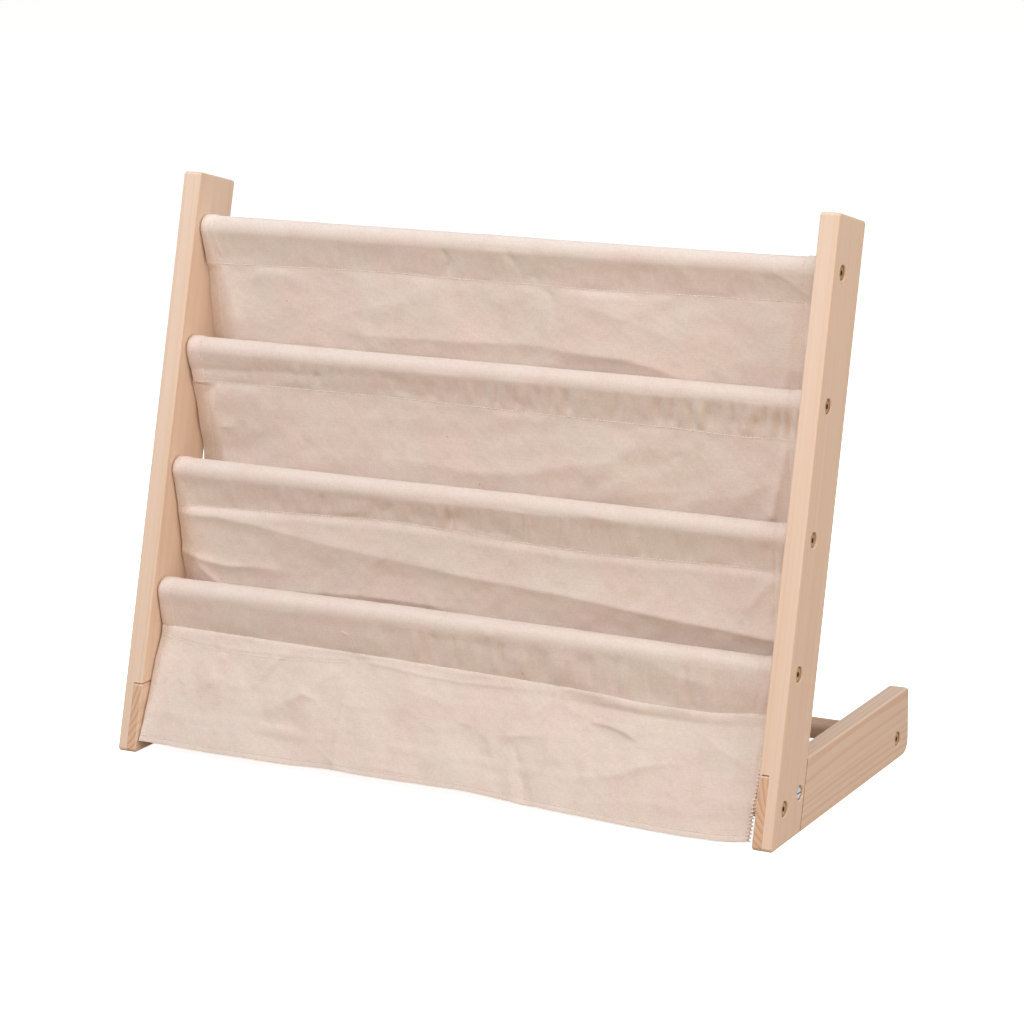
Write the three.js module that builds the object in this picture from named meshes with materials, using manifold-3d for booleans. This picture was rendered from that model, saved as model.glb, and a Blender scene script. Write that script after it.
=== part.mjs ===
// A low sling bookshelf for small children. Two pine sides lean back on feet that are half-lapped into them,
// round dowels are screwed between the sides, and one sewn canvas sling hangs over the four upper dowels.
// The cloth makes three book pockets, one behind the other, and ends in a free apron in front of the lowest dowel.
// Units are millimetres. +X is the shelf's width, -Y its front, +Z up, and the origin is on the floor, mid-way.
import * as THREE from 'three';
import { mergeVertices } from 'three/addons/utils/BufferGeometryUtils.js';
import Module from 'manifold-3d';

const wasm = await Module();
wasm.setup();

// The shelf as a whole
const overallWidth = 600;
const leanAngle = THREE.MathUtils.degToRad(15);

// Boards
const boardThickness = 17;
const uprightBreadth = 55;
const uprightLength = 495;
const footLength = 290;
const footHeight = 56;
const longEdgeEase = 1.5;
const cornerEase = 3;
const heelRadius = 12;
const lapFit = 0.3;

// Dowels, evenly spaced along the upright between the lowest and the top one
const dowelDiameter = 18;
const dowelCount = 5;
const lowestDowelAlong = 34;
const topDowelFromEnd = 45;
const dowelSetBack = 18;
const dowelEndFit = 0.3;
const railFromHeel = 25;
const railHeight = 17.4;

// Bronze coloured furniture screws through the boards into the dowels
const screwHeadDiameter = 10.8;
const screwHeadHeight = 3.2;
const screwCrown = 0.8;
const screwShankDiameter = 5;
const screwLength = 42;
const screwTip = 3;
const screwFit = 0.4;
const socketAcrossFlats = 4;
const socketDepth = 2.2;
const counterboreDiameter = 12;
const counterboreDepth = 4.5;

// Bright zinc screws that hold the half-laps
const lapScrewAlong = 46;
const lapScrewAcross = 46;
const lapScrewHeadDiameter = 10.4;
const lapScrewHeadHeight = 2.6;
const lapScrewCrown = 0.9;
const lapScrewShankDiameter = 3.8;
const lapScrewLength = 11;
const lapScrewTip = 1.5;
const lapScrewSlotWidth = 1.4;
const lapScrewSlotDepth = 1;
const lapCounterboreDiameter = 11.6;
const lapCounterboreDepth = 3.4;

// Canvas sling: sleeves round the dowels, and the layers that hang from their seams
const clothThickness = 1.2;
const clothSideGap = 1;
const layerGap = 0.3;
const sleeveEase = 0.4;
const seamDrop = 28;
const seamForward = 3;
const seamHeight = 3;
const frontWallDepth = 34;
const frontWallSetBack = 10;
const backWallSetBack = 8;
const apronHem = 5;
const foldDepth = 4;
const foldShoulder = 26;
const foldTuck = 7;

// Finish of the round forms, as counts of flats
const dowelFlats = 24;
const screwFlats = 12;
const holeFlats = 16;
const clothCells = 20;
const seamCells = 10;
const overrun = 10;

// The seams' drop along the sling's width: [share of the half width, share of the seam drop]
const seamDropShares = [
  [[-1, 1.04], [-0.33, 0.9], [0.1, 0.98], [0.33, 0.98], [1, 0.87]],
  [[-1, 0.98], [-0.28, 0.9], [0.34, 0.98], [0.8, 1.09], [1, 1]],
  [[-1, 1.04], [-0.23, 0.78], [0.41, 1.08], [1, 0.97]],
  [[-1, 0.97], [-0.26, 1.06], [0.46, 1.22], [0.82, 1.34], [1, 1.16]],
];

// The main folds of the three back walls, from the top, and of the apron.
// A fold is a line of points [share of the half width, share of the way down] and a share of the fold depth.
const backWallFoldShares = [
  [
    { line: [[-0.45, 0.36], [-0.07, 0.33], [0.13, 0.34], [0.5, 0.42], [0.66, 0.5]], depth: 0.8 },
  ],
  [
    { line: [[0.28, 0.38], [0.5, 0.28]], depth: 0.35 },
    { line: [[0.66, 0.36], [0.95, 0.4]], depth: 0.45 },
  ],
  [
    { line: [[-1, 0.07], [-0.75, 0.1], [-0.32, 0.22]], depth: 0.6 },
    { line: [[-0.36, 0.24], [0, 0.27], [0.4, 0.35], [0.98, 0.42]], depth: 1 },
    { line: [[-1, 0.3], [-0.8, 0.36]], depth: 0.5 },
  ],
];
const apronFoldShares = [
  { line: [[-1, 0.1], [-0.4, 0.12]], depth: 0.35 },
  { line: [[0.44, 0.06], [0.82, 0.05]], depth: 0.4 },
  { line: [[0.46, 0.27], [0.63, 0.38]], depth: 0.4 },
  { line: [[0.2, 0.5], [0.3, 0.52]], depth: 0.35 },
];
// The hem's height along the apron: [share of the half width, share of the hem height]
const hemHeightShares = [[-1, 1.8], [-0.35, 1.9], [0.1, 1.8], [0.5, 0.8], [0.75, 0.5], [0.9, 0.5], [1, 1]];

// Values that follow from the sizes above
const innerFace = overallWidth / 2 - boardThickness;
const lapFace = overallWidth / 2 - boardThickness / 2;
const dowelRadius = dowelDiameter / 2;
const dowelPitch = (uprightLength - lowestDowelAlong - topDowelFromEnd) / (dowelCount - 1);
const clothHalfWidth = innerFace - clothSideGap;
const sleeveCount = dowelCount - 1;

// Place in the side view, as [y, z], of a point measured along the upright and across it
function onUpright(along, across) {
  return [
    along * Math.sin(leanAngle) + across * Math.cos(leanAngle),
    along * Math.cos(leanAngle) - across * Math.sin(leanAngle),
  ];
}

// Dowels are numbered from the top
function dowelPlace(number) {
  return onUpright(lowestDowelAlong + dowelPitch * (dowelCount - number), dowelSetBack);
}

const railPlace = [footLength - railFromHeel, railHeight];
const lapScrewPlace = onUpright(lapScrewAlong, lapScrewAcross);

const pine = new THREE.MeshStandardMaterial({ color: 0xe6cba9, roughness: 0.6, metalness: 0 });
const dowelPine = new THREE.MeshStandardMaterial({ color: 0xdfc39e, roughness: 0.6, metalness: 0 });
const bronze = new THREE.MeshStandardMaterial({ color: 0x8a6a3c, roughness: 0.4, metalness: 1 });
const zinc = new THREE.MeshStandardMaterial({ color: 0xc4c8cc, roughness: 0.3, metalness: 1 });
const canvas = new THREE.MeshStandardMaterial({ color: 0xe2d0c2, roughness: 0.95, metalness: 0 });

const frame = new THREE.Group();
frame.position.y = -footLength / 2;
const sling = new THREE.Group();
frame.add(sling);
const group = new THREE.Group();
group.add(frame);

function addPiece(parent, name, geometry, material) {
  const mesh = new THREE.Mesh(geometry, material);
  mesh.name = name;
  parent.add(mesh);
}

// Closed solids for joining and cutting
function solidOf(geometry) {
  const bare = geometry.clone();
  bare.deleteAttribute('normal');
  bare.deleteAttribute('uv');
  const merged = mergeVertices(bare);
  const vertProperties = new Float32Array(merged.attributes.position.array);
  const triVerts = new Uint32Array(merged.index.array);
  return new wasm.Manifold(new wasm.Mesh({ numProp: 3, vertProperties, triVerts }));
}

function geometryOf(solid) {
  const mesh = solid.getMesh();
  const geometry = new THREE.BufferGeometry();
  geometry.setAttribute('position', new THREE.BufferAttribute(mesh.vertProperties, mesh.numProp));
  geometry.setIndex(new THREE.BufferAttribute(mesh.triVerts, 1));
  geometry.computeVertexNormals();
  return geometry;
}

// An outline in the side view whose corners are rounded, each by its own radius
function roundedOutline(corners) {
  const shape = new THREE.Shape();
  corners.forEach(([y, z, radius], i) => {
    const corner = new THREE.Vector2(y, z);
    const [previous, next] = [corners.at(i - 1), corners[(i + 1) % corners.length]]
      .map(([otherY, otherZ]) => new THREE.Vector2(otherY, otherZ).sub(corner).setLength(radius).add(corner));
    if (i === 0) shape.moveTo(previous.x, previous.y);
    else shape.lineTo(previous.x, previous.y);
    shape.quadraticCurveTo(corner.x, corner.y, next.x, next.y);
  });
  shape.closePath();
  return shape;
}

// A board that lies in the side view, from x = from to x = to, with its long edges eased
const sideView = new THREE.Matrix4().makeBasis(
  new THREE.Vector3(0, 1, 0),
  new THREE.Vector3(0, 0, 1),
  new THREE.Vector3(1, 0, 0),
);
function board(shape, from, to, ease) {
  const geometry = new THREE.ExtrudeGeometry(shape, {
    depth: to - from - 2 * ease,
    curveSegments: 3,
    bevelEnabled: ease > 0,
    bevelSize: ease,
    bevelThickness: ease,
    bevelOffset: -ease,
    bevelSegments: 2,
  });
  return geometry.translate(0, 0, from + ease).applyMatrix4(sideView);
}

// A round bar or hole along the width, centred on a place in the side view
function roundBar([y, z], from, to, diameter, flats) {
  return new THREE.CylinderGeometry(diameter / 2, diameter / 2, to - from, flats)
    .rotateZ(Math.PI / 2)
    .translate((from + to) / 2, y, z);
}

// Screws lie along the width at the right side: the shank points to -X and the head's underside is at seat
function screwGeometry({ diameter, height, crown, shank, length, tip }, recess, seat, [y, z]) {
  const profile = [
    [0, -length],
    [shank / 2, tip - length],
    [shank / 2, 0],
    [diameter / 2, 0],
    [diameter / 2, height - crown],
    [diameter / 2 - crown, height],
    [0, height],
  ].map(([radius, along]) => new THREE.Vector2(radius, along));
  const turned = new THREE.LatheGeometry(profile, screwFlats);
  return geometryOf(solidOf(turned).subtract(solidOf(recess)))
    .rotateZ(-Math.PI / 2)
    .translate(seat, y, z);
}

const dowelScrew = {
  diameter: screwHeadDiameter,
  height: screwHeadHeight,
  crown: screwCrown,
  shank: screwShankDiameter,
  length: screwLength,
  tip: screwTip,
};
const hexSocket = new THREE.CylinderGeometry(
  socketAcrossFlats / Math.sqrt(3),
  socketAcrossFlats / Math.sqrt(3),
  socketDepth + overrun,
  6,
).translate(0, screwHeadHeight + (overrun - socketDepth) / 2, 0);

const lapScrew = {
  diameter: lapScrewHeadDiameter,
  height: lapScrewHeadHeight,
  crown: lapScrewCrown,
  shank: lapScrewShankDiameter,
  length: lapScrewLength,
  tip: lapScrewTip,
};
const driverSlot = new THREE.BoxGeometry(
  lapScrewHeadDiameter + overrun,
  lapScrewSlotDepth + overrun,
  lapScrewSlotWidth,
).translate(0, lapScrewHeadHeight + (overrun - lapScrewSlotDepth) / 2, 0);

// Where the two kinds of screw seat, on the right side
const dowelScrewSeat = overallWidth / 2 - counterboreDepth + lapFit;
const lapScrewSeat = overallWidth / 2 - lapCounterboreDepth + lapFit;

// The holes that the two kinds of screw need, as solids to cut away
function dowelScrewHole(place) {
  const inner = dowelScrewSeat - screwLength - screwFit;
  const bore = roundBar(place, inner, overallWidth / 2 + overrun, screwShankDiameter + 2 * screwFit, holeFlats);
  const counterbore = roundBar(
    place,
    overallWidth / 2 - counterboreDepth,
    overallWidth / 2 + overrun,
    counterboreDiameter,
    holeFlats,
  );
  return solidOf(bore).add(solidOf(counterbore));
}

function lapScrewHole(place) {
  const inner = lapScrewSeat - lapScrewLength - screwFit;
  const bore = roundBar(place, inner, overallWidth / 2 + overrun, lapScrewShankDiameter + 2 * screwFit, holeFlats);
  const counterbore = roundBar(
    place,
    overallWidth / 2 - lapCounterboreDepth,
    overallWidth / 2 + overrun,
    lapCounterboreDiameter,
    holeFlats,
  );
  return solidOf(bore).add(solidOf(counterbore));
}

// The left side is the right side seen in a mirror
function mirrored(geometry) {
  const copy = geometry.clone().scale(-1, 1, 1);
  const index = copy.index;
  for (let i = 0; i < index.count; i += 3) {
    const first = index.getX(i);
    index.setX(i, index.getX(i + 2));
    index.setX(i + 2, first);
  }
  copy.computeVertexNormals();
  return copy;
}

function addPair(name, geometry, material) {
  addPiece(frame, `${name}_right`, geometry, material);
  addPiece(frame, `${name}_left`, mirrored(geometry), material);
}

// Uprights: cut level with the floor below and square above. The inner half ends on the foot's tongue
const [topFrontY, topFrontZ] = onUpright(uprightLength, 0);
const [topRearY, topRearZ] = onUpright(uprightLength, uprightBreadth);
const rearEdgeOnFloor = uprightBreadth / Math.cos(leanAngle);
const uprightOutline = roundedOutline([
  [0, 0, cornerEase],
  [rearEdgeOnFloor, 0, cornerEase],
  [topRearY, topRearZ, cornerEase],
  [topFrontY, topFrontZ, cornerEase],
]);
const uprightBlank = solidOf(board(uprightOutline, innerFace, overallWidth / 2, longEdgeEase));
const innerHalf = solidOf(
  new THREE.BoxGeometry(
    boardThickness,
    2 * footLength,
    2 * (footHeight + lapFit),
  ).translate(lapFace - boardThickness / 2 + lapFit / 2, 0, 0),
);
let upright = uprightBlank.subtract(innerHalf).subtract(lapScrewHole(lapScrewPlace));
for (let number = 1; number <= dowelCount; number += 1) {
  upright = upright.subtract(dowelScrewHole(dowelPlace(number)));
}
addPair('upright', geometryOf(upright), pine);

// Feet: the front end follows the upright's lean, and only its inner half runs on past the upright's rear edge
const leanAtTop = footHeight * Math.tan(leanAngle);
const footOutline = roundedOutline([
  [0, 0, cornerEase],
  [footLength, 0, heelRadius],
  [footLength, footHeight, cornerEase],
  [leanAtTop, footHeight, longEdgeEase],
]);
const footBlank = solidOf(board(footOutline, innerFace, overallWidth / 2, longEdgeEase));
const outerHalfOutline = new THREE.Shape([
  new THREE.Vector2(-overrun, -overrun),
  new THREE.Vector2(rearEdgeOnFloor + lapFit - overrun * Math.tan(leanAngle), -overrun),
  new THREE.Vector2(rearEdgeOnFloor + lapFit + (footHeight + overrun) * Math.tan(leanAngle), footHeight + overrun),
  new THREE.Vector2(-overrun, footHeight + overrun),
]);
const outerHalf = solidOf(board(outerHalfOutline, lapFace - lapFit / 2, overallWidth / 2 + overrun, 0));
const foot = footBlank
  .subtract(outerHalf)
  .subtract(lapScrewHole(lapScrewPlace))
  .subtract(dowelScrewHole(dowelPlace(dowelCount)))
  .subtract(dowelScrewHole(railPlace));
addPair('foot', geometryOf(foot), pine);

// Dowels and their screws
const dowelEnd = innerFace - dowelEndFit;
function addDowel(name, place) {
  const bar = solidOf(roundBar(place, -dowelEnd, dowelEnd, dowelDiameter, dowelFlats));
  const rightHole = dowelScrewHole(place);
  const leftHole = solidOf(mirrored(geometryOf(rightHole)));
  addPiece(frame, name, geometryOf(bar.subtract(rightHole).subtract(leftHole)), dowelPine);
  addPair(`screw_${name}`, screwGeometry(dowelScrew, hexSocket, dowelScrewSeat, place), bronze);
}
for (let number = 1; number <= dowelCount; number += 1) {
  addDowel(`dowel_${number}`, dowelPlace(number));
}
addDowel('rear_rail', railPlace);
addPair('screw_lap', screwGeometry(lapScrew, driverSlot, lapScrewSeat, lapScrewPlace), zinc);

// A value between points [where, value] that run upwards, in straight steps
function between(points, where) {
  const next = points.findIndex(([at]) => at >= where);
  if (next === -1) return points.at(-1)[1];
  if (next === 0) return points[0][1];
  const [[at0, value0], [at1, value1]] = [points[next - 1], points[next]];
  return value0 + ((value1 - value0) * (where - at0)) / (at1 - at0);
}

// Stations along the width, as shares of the sling's half width from -1 to 1
function stationsAcross(cells) {
  return Array.from({ length: cells + 1 }, (_, i) => -1 + (2 * i) / cells);
}

// A seam runs straight from one of its stations to the next, so that every layer below it fits its edge
const seamLines = seamDropShares.map((drops) => (
  stationsAcross(seamCells).map((share) => [share, seamDrop * between(drops, share)])
));
const seamDropAt = (number, share) => between(seamLines[number - 1], share);

// How far the folds push a wall forwards, at a share of the half width and a share of its height down.
// Above its line a fold swells slowly and below it the cloth tucks in at once.
function foldBulge(folds, share, down, height) {
  let bulge = 0;
  for (const { line, depth } of folds) {
    const start = line[0][0];
    const end = line.at(-1)[0];
    if (share < start || share > end) continue;
    const taper = Math.sin((Math.PI * (share - start)) / (end - start));
    const below = (down - between(line, share)) * height;
    const reach = below < 0 ? foldShoulder : foldTuck;
    const fromEdge = Math.min(1, (down * height) / foldTuck, ((1 - down) * height) / foldShoulder);
    bulge += foldDepth * depth * fromEdge * Math.sqrt(taper) * Math.exp(-((below / reach) ** 2));
  }
  return bulge;
}

// A cloth solid from two grids of points, its front and its back, closed round the edges.
// A ring of points per station closes on itself, as a sleeve does; otherwise the grid has four edges.
function clothSolid(frontGrid, backGrid, closedRing) {
  const stations = frontGrid.length;
  const across = frontGrid[0].length;
  const vertices = [...frontGrid.flat(), ...backGrid.flat()].flatMap((point) => point.toArray());
  const indices = [];
  const front = (i, j) => i * across + (j % across);
  const back = (i, j) => stations * across + front(i, j);
  const quad = (a, b, c, d) => indices.push(a, b, c, a, c, d);
  const cells = closedRing ? across : across - 1;
  for (let i = 0; i < stations - 1; i += 1) {
    for (let j = 0; j < cells; j += 1) {
      quad(front(i, j), front(i, j + 1), front(i + 1, j + 1), front(i + 1, j));
      quad(back(i, j), back(i + 1, j), back(i + 1, j + 1), back(i, j + 1));
    }
    if (!closedRing) {
      quad(front(i, 0), front(i + 1, 0), back(i + 1, 0), back(i, 0));
      quad(front(i, cells), back(i, cells), back(i + 1, cells), front(i + 1, cells));
    }
  }
  for (let j = 0; j < cells; j += 1) {
    const last = stations - 1;
    quad(front(0, j), back(0, j), back(0, j + 1), front(0, j + 1));
    quad(front(last, j), front(last, j + 1), back(last, j + 1), back(last, j));
  }
  const geometry = new THREE.BufferGeometry();
  geometry.setAttribute('position', new THREE.Float32BufferAttribute(vertices, 3));
  geometry.setIndex(indices);
  geometry.computeVertexNormals();
  return geometry;
}

// A hanging layer of cloth: path(share) gives its mid-line from one edge to the other as points [y, z].
// Both edges are cut level, so that they lie square to the edges that they meet.
function frontNormal(line, j) {
  const along = line[Math.min(j + 1, line.length - 1)].clone().sub(line[Math.max(j - 1, 0)]);
  if (j === 0 || j === line.length - 1) along.x = 0;
  along.normalize();
  return new THREE.Vector2(along.y, -along.x);
}
function hangingLayer(cells, path) {
  const frontGrid = [];
  const backGrid = [];
  for (const share of stationsAcross(cells)) {
    const line = path(share).map(([y, z]) => new THREE.Vector2(y, z));
    const face = (side) => line.map((point, j) => {
      const place = frontNormal(line, j).multiplyScalar((side * clothThickness) / 2).add(point);
      return new THREE.Vector3(share * clothHalfWidth, place.x, place.y);
    });
    frontGrid.push(face(1));
    backGrid.push(face(-1));
  }
  return clothSolid(frontGrid, backGrid, false);
}

// Sleeves: the cloth goes round the dowel and both layers meet in a seam below it
const sleeveArcSteps = 8;
function tangentAngle(point, radius, side) {
  const distance = Math.hypot(point[0], point[1]);
  return Math.atan2(point[1], point[0]) + side * Math.acos(radius / distance);
}
function sleeveRing(frontFoot, rearFoot, radius) {
  const turn = 2 * Math.PI;
  const frontAngle = tangentAngle(frontFoot, radius, -1) + turn;
  const rearAngle = tangentAngle(rearFoot, radius, 1);
  const arc = Array.from({ length: sleeveArcSteps + 1 }, (_, i) => {
    const angle = rearAngle + ((frontAngle - rearAngle) * i) / sleeveArcSteps;
    return [radius * Math.cos(angle), radius * Math.sin(angle)];
  });
  const middle = ([y0, z0], [y1, z1]) => [(y0 + y1) / 2, (z0 + z1) / 2];
  return [rearFoot, middle(rearFoot, arc[0]), ...arc, middle(arc.at(-1), frontFoot), frontFoot];
}
function sleeveGeometry(number) {
  const [dowelY, dowelZ] = dowelPlace(number);
  const outerGrid = [];
  const innerGrid = [];
  for (const share of stationsAcross(seamCells)) {
    const drop = seamDropAt(number, share);
    const toPoint = ([y, z]) => new THREE.Vector3(share * clothHalfWidth, dowelY + y, dowelZ + z);
    const innerRadius = dowelRadius + sleeveEase;
    const halfSlit = layerGap / 2;
    const outer = sleeveRing(
      [-seamForward - clothThickness - halfSlit, -drop],
      [-seamForward + clothThickness + halfSlit, -drop],
      innerRadius + clothThickness,
    );
    const inner = sleeveRing(
      [-seamForward - halfSlit, seamHeight - drop],
      [-seamForward + halfSlit, seamHeight - drop],
      innerRadius,
    );
    outerGrid.push(outer.map(toPoint));
    innerGrid.push(inner.map(toPoint));
  }
  return clothSolid(outerGrid, innerGrid, true);
}

// Below a seam the two layers part: the front one is the wall in view, the rear one the pocket's front wall
const layerOffset = (clothThickness + layerGap) / 2;
function layerTop(number, share, side) {
  const [dowelY, dowelZ] = dowelPlace(number);
  return [dowelY - seamForward + side * layerOffset, dowelZ - seamDropAt(number, share) - layerGap];
}

// Where the straight walls of a pocket end and its rounded bottom begins
function pocketFoot(number) {
  const [rearDowelY] = dowelPlace(number);
  const [frontDowelY, frontDowelZ] = dowelPlace(number + 1);
  return {
    rear: rearDowelY - seamForward + backWallSetBack,
    front: frontDowelY - seamForward + frontWallSetBack,
    height: frontDowelZ - seamDrop - frontWallDepth,
  };
}

const wallSteps = 8;
function backWallPath(number) {
  const { rear, height } = pocketFoot(number);
  return (share) => {
    const [topY, topZ] = layerTop(number, share, -1);
    return Array.from({ length: wallSteps + 1 }, (_, j) => {
      const down = j / wallSteps;
      const setBack = (rear - topY) * down ** 2;
      const bulge = foldBulge(backWallFoldShares[number - 1], share, down, topZ - height);
      return [topY + setBack - bulge, topZ + (height - topZ) * down];
    });
  };
}

const frontWallSteps = 2;
function frontWallPath(number) {
  const { front, height } = pocketFoot(number);
  return (share) => {
    const [topY, topZ] = layerTop(number + 1, share, 1);
    return Array.from({ length: frontWallSteps + 1 }, (_, j) => {
      const down = j / frontWallSteps;
      return [topY + (front - topY) * down, topZ + (height - topZ) * down];
    });
  };
}

const bottomSteps = 6;
function pocketBottomPath(number) {
  const { rear, front, height } = pocketFoot(number);
  const radius = (rear - front) / 2;
  return () => Array.from({ length: bottomSteps + 1 }, (_, j) => {
    const angle = (Math.PI * j) / bottomSteps;
    return [front + radius - radius * Math.cos(angle), height - layerGap - radius * Math.sin(angle)];
  });
}

// The apron hangs from the lowest sleeve's seam, rests on the front of the bottom dowel and runs straight on
function apronPath(share) {
  const [topY, topZ] = layerTop(sleeveCount, share, -1);
  const [dowelY, dowelZ] = dowelPlace(dowelCount);
  const toDowel = Math.hypot(dowelY - topY, dowelZ - topZ);
  const clearance = dowelRadius + sleeveEase + clothThickness / 2;
  const slope = Math.atan2(topY - dowelY, topZ - dowelZ) + Math.asin(clearance / toDowel);
  const hemZ = apronHem * between(hemHeightShares, share);
  return Array.from({ length: wallSteps + 1 }, (_, j) => {
    const down = j / wallSteps;
    const z = topZ + (hemZ - topZ) * down;
    const bulge = foldBulge(apronFoldShares, share, down, topZ - hemZ);
    return [topY - (topZ - z) * Math.tan(slope) - bulge, z];
  });
}

for (let number = 1; number <= sleeveCount; number += 1) {
  addPiece(sling, `sleeve_${number}`, sleeveGeometry(number), canvas);
}
for (let number = 1; number < sleeveCount; number += 1) {
  addPiece(sling, `pocket_${number}_back`, hangingLayer(clothCells, backWallPath(number)), canvas);
  addPiece(sling, `pocket_${number}_bottom`, hangingLayer(seamCells, pocketBottomPath(number)), canvas);
  addPiece(sling, `pocket_${number}_front`, hangingLayer(seamCells, frontWallPath(number)), canvas);
}
addPiece(sling, 'apron', hangingLayer(clothCells, apronPath), canvas);

export default group;
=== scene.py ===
import math

import bpy
import numpy as np
from mathutils import Matrix, Vector


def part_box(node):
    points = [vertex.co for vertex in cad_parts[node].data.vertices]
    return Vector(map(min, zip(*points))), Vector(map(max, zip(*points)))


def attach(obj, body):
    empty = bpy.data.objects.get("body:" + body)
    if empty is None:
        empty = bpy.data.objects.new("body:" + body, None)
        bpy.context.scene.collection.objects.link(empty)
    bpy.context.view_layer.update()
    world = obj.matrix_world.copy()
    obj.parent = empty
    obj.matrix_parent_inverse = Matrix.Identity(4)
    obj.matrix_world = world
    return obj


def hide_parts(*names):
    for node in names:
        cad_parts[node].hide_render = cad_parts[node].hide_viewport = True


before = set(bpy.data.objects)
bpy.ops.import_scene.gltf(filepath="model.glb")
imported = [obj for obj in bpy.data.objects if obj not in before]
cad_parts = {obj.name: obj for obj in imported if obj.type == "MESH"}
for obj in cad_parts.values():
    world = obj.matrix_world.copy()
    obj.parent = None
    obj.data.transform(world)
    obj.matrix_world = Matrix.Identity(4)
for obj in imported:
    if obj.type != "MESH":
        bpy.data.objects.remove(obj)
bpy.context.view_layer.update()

# Camera. The photograph was taken with a long lens from the shelf's right front, a little above it, and its
# frame was cropped off-centre, which the small shift gives back.
CAMERA_PLACE = Vector((1.26947, -2.40854, 0.85867))
CAMERA_AZIMUTH = 0.4838
CAMERA_ELEVATION = 0.1994
CAMERA_ROLL = -0.0097
SENSOR_WIDTH = 36.0
FOCAL_PIXELS = 3369.18
SHIFT_PIXELS = -120.0
PHOTO_PIXELS = 1024.0


def camera_turn(azimuth, elevation, roll):
    """The camera's axes as columns: it looks along (-sin a cos e, cos a cos e, -sin e), then rolls about that line."""
    look = Vector((
        -math.sin(azimuth) * math.cos(elevation),
        math.cos(azimuth) * math.cos(elevation),
        -math.sin(elevation),
    ))
    level = Vector((math.cos(azimuth), math.sin(azimuth), 0.0))
    upward = level.cross(look)
    right = math.cos(roll) * level + math.sin(roll) * upward
    top = math.cos(roll) * upward - math.sin(roll) * level
    return Matrix((right, top, -look)).transposed()


bpy.context.scene.view_settings.view_transform = "Standard"
camera_data = bpy.data.cameras.new("camera")
camera_data.sensor_width = SENSOR_WIDTH
camera_data.lens = FOCAL_PIXELS * SENSOR_WIDTH / PHOTO_PIXELS
camera_data.shift_y = SHIFT_PIXELS / PHOTO_PIXELS
camera = bpy.data.objects.new("camera", camera_data)
camera.matrix_world = Matrix.Translation(CAMERA_PLACE) @ camera_turn(
    CAMERA_AZIMUTH, CAMERA_ELEVATION, CAMERA_ROLL).to_4x4()
bpy.context.scene.collection.objects.link(camera)
bpy.context.scene.camera = camera


# White studio: a paper floor and a white surround. The light is cool and soft from the front left, as from a window,
# with soft lamps in front, on the right, behind and above, and weaker from all round, as between lit walls.
WHITE = "#FFFFFF"
FLOOR_PAPER = "#957E66"
FLOOR_SIDE = 14.0
FLOOR_GLOW = 0.88
CEILING_LIGHT = "#1E1C1A"
LEVEL_LIGHT = "#9C9188"
GROUND_LIGHT = "#14110E"
WINDOW_LIGHT = "#E4F1FF"
LAMP_LIGHT = "#FFF3E8"


def linear(colour):
    """The linear RGBA of an sRGB hex colour: c/12.92 below 0.04045, else ((c + 0.055)/1.055) to the power 2.4."""
    shares = np.array([int(colour[i:i + 2], 16) for i in (1, 3, 5)]) / 255.0
    made = np.where(shares <= 0.04045, shares / 12.92, ((shares + 0.055) / 1.055) ** 2.4)
    return (*[float(c) for c in made], 1.0)


def fill(tree, node, inputs):
    """Sets each named input of a node to a value, or links it to a socket or to another node's first output in use."""
    for name, value in inputs.items():
        if isinstance(value, bpy.types.Node):
            value = next(socket for socket in value.outputs if socket.enabled)
        if isinstance(value, bpy.types.NodeSocket):
            tree.links.new(value, node.inputs[name])
        else:
            node.inputs[name].default_value = value


def add(tree, kind, inputs=None, **settings):
    """A shader node of that kind with its settings and its inputs filled."""
    made = tree.nodes.new("ShaderNode" + kind)
    for name, value in settings.items():
        setattr(made, name, value)
    fill(tree, made, inputs or {})
    return made


def start_material(name, inputs):
    """A material of that name, its node tree, and its surface shader with these inputs filled."""
    material = bpy.data.materials.new(name)
    material.use_nodes = True
    tree = material.node_tree
    shader = tree.nodes["Principled BSDF"]
    fill(tree, shader, inputs)
    return material, tree, shader


def seen_directly(tree):
    """1 where a ray comes from the camera or by way of gloss or glass, else 0."""
    path = add(tree, "LightPath")
    glossy = add(tree, "Math", {
        0: path.outputs["Is Camera Ray"], 1: path.outputs["Is Glossy Ray"]}, operation="MAXIMUM")
    return add(tree, "Math", {0: glossy, 1: path.outputs["Is Transmission Ray"]}, operation="MAXIMUM")


world = bpy.data.worlds.new("white surround")
world.use_nodes = True
tree = world.node_tree
tree.nodes.clear()
upness = add(tree, "SeparateXYZ", {0: add(tree, "TexCoord").outputs["Generated"]}).outputs["Z"]
surround = add(tree, "ValToRGB", {0: add(tree, "MapRange", {
    "Value": upness, "From Min": -1.0, "From Max": 1.0})})
for element, colour in zip(surround.color_ramp.elements, (GROUND_LIGHT, CEILING_LIGHT)):
    element.color = linear(colour)
surround.color_ramp.elements.new(0.5).color = linear(LEVEL_LIGHT)
unseen = add(tree, "Background", {"Color": surround})
seen = add(tree, "Background", {"Color": linear(WHITE), "Strength": 1.0})
mixed = add(tree, "MixShader", {0: seen_directly(tree), 1: unseen, 2: seen})
add(tree, "OutputWorld", {"Surface": mixed})
bpy.context.scene.world = world

paper = bpy.data.materials.new("matt floor paper")
paper.use_nodes = True
tree = paper.node_tree
tree.nodes.clear()
matt = add(tree, "BsdfDiffuse", {"Color": linear(FLOOR_PAPER)})
lit = add(tree, "BsdfDiffuse", {"Color": linear(WHITE)})
glow = add(tree, "Emission", {"Color": linear(WHITE), "Strength": FLOOR_GLOW})
white = add(tree, "AddShader", {0: lit, 1: glow})
mixed = add(tree, "MixShader", {0: seen_directly(tree), 1: matt, 2: white})
add(tree, "OutputMaterial", {"Surface": mixed})


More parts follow.
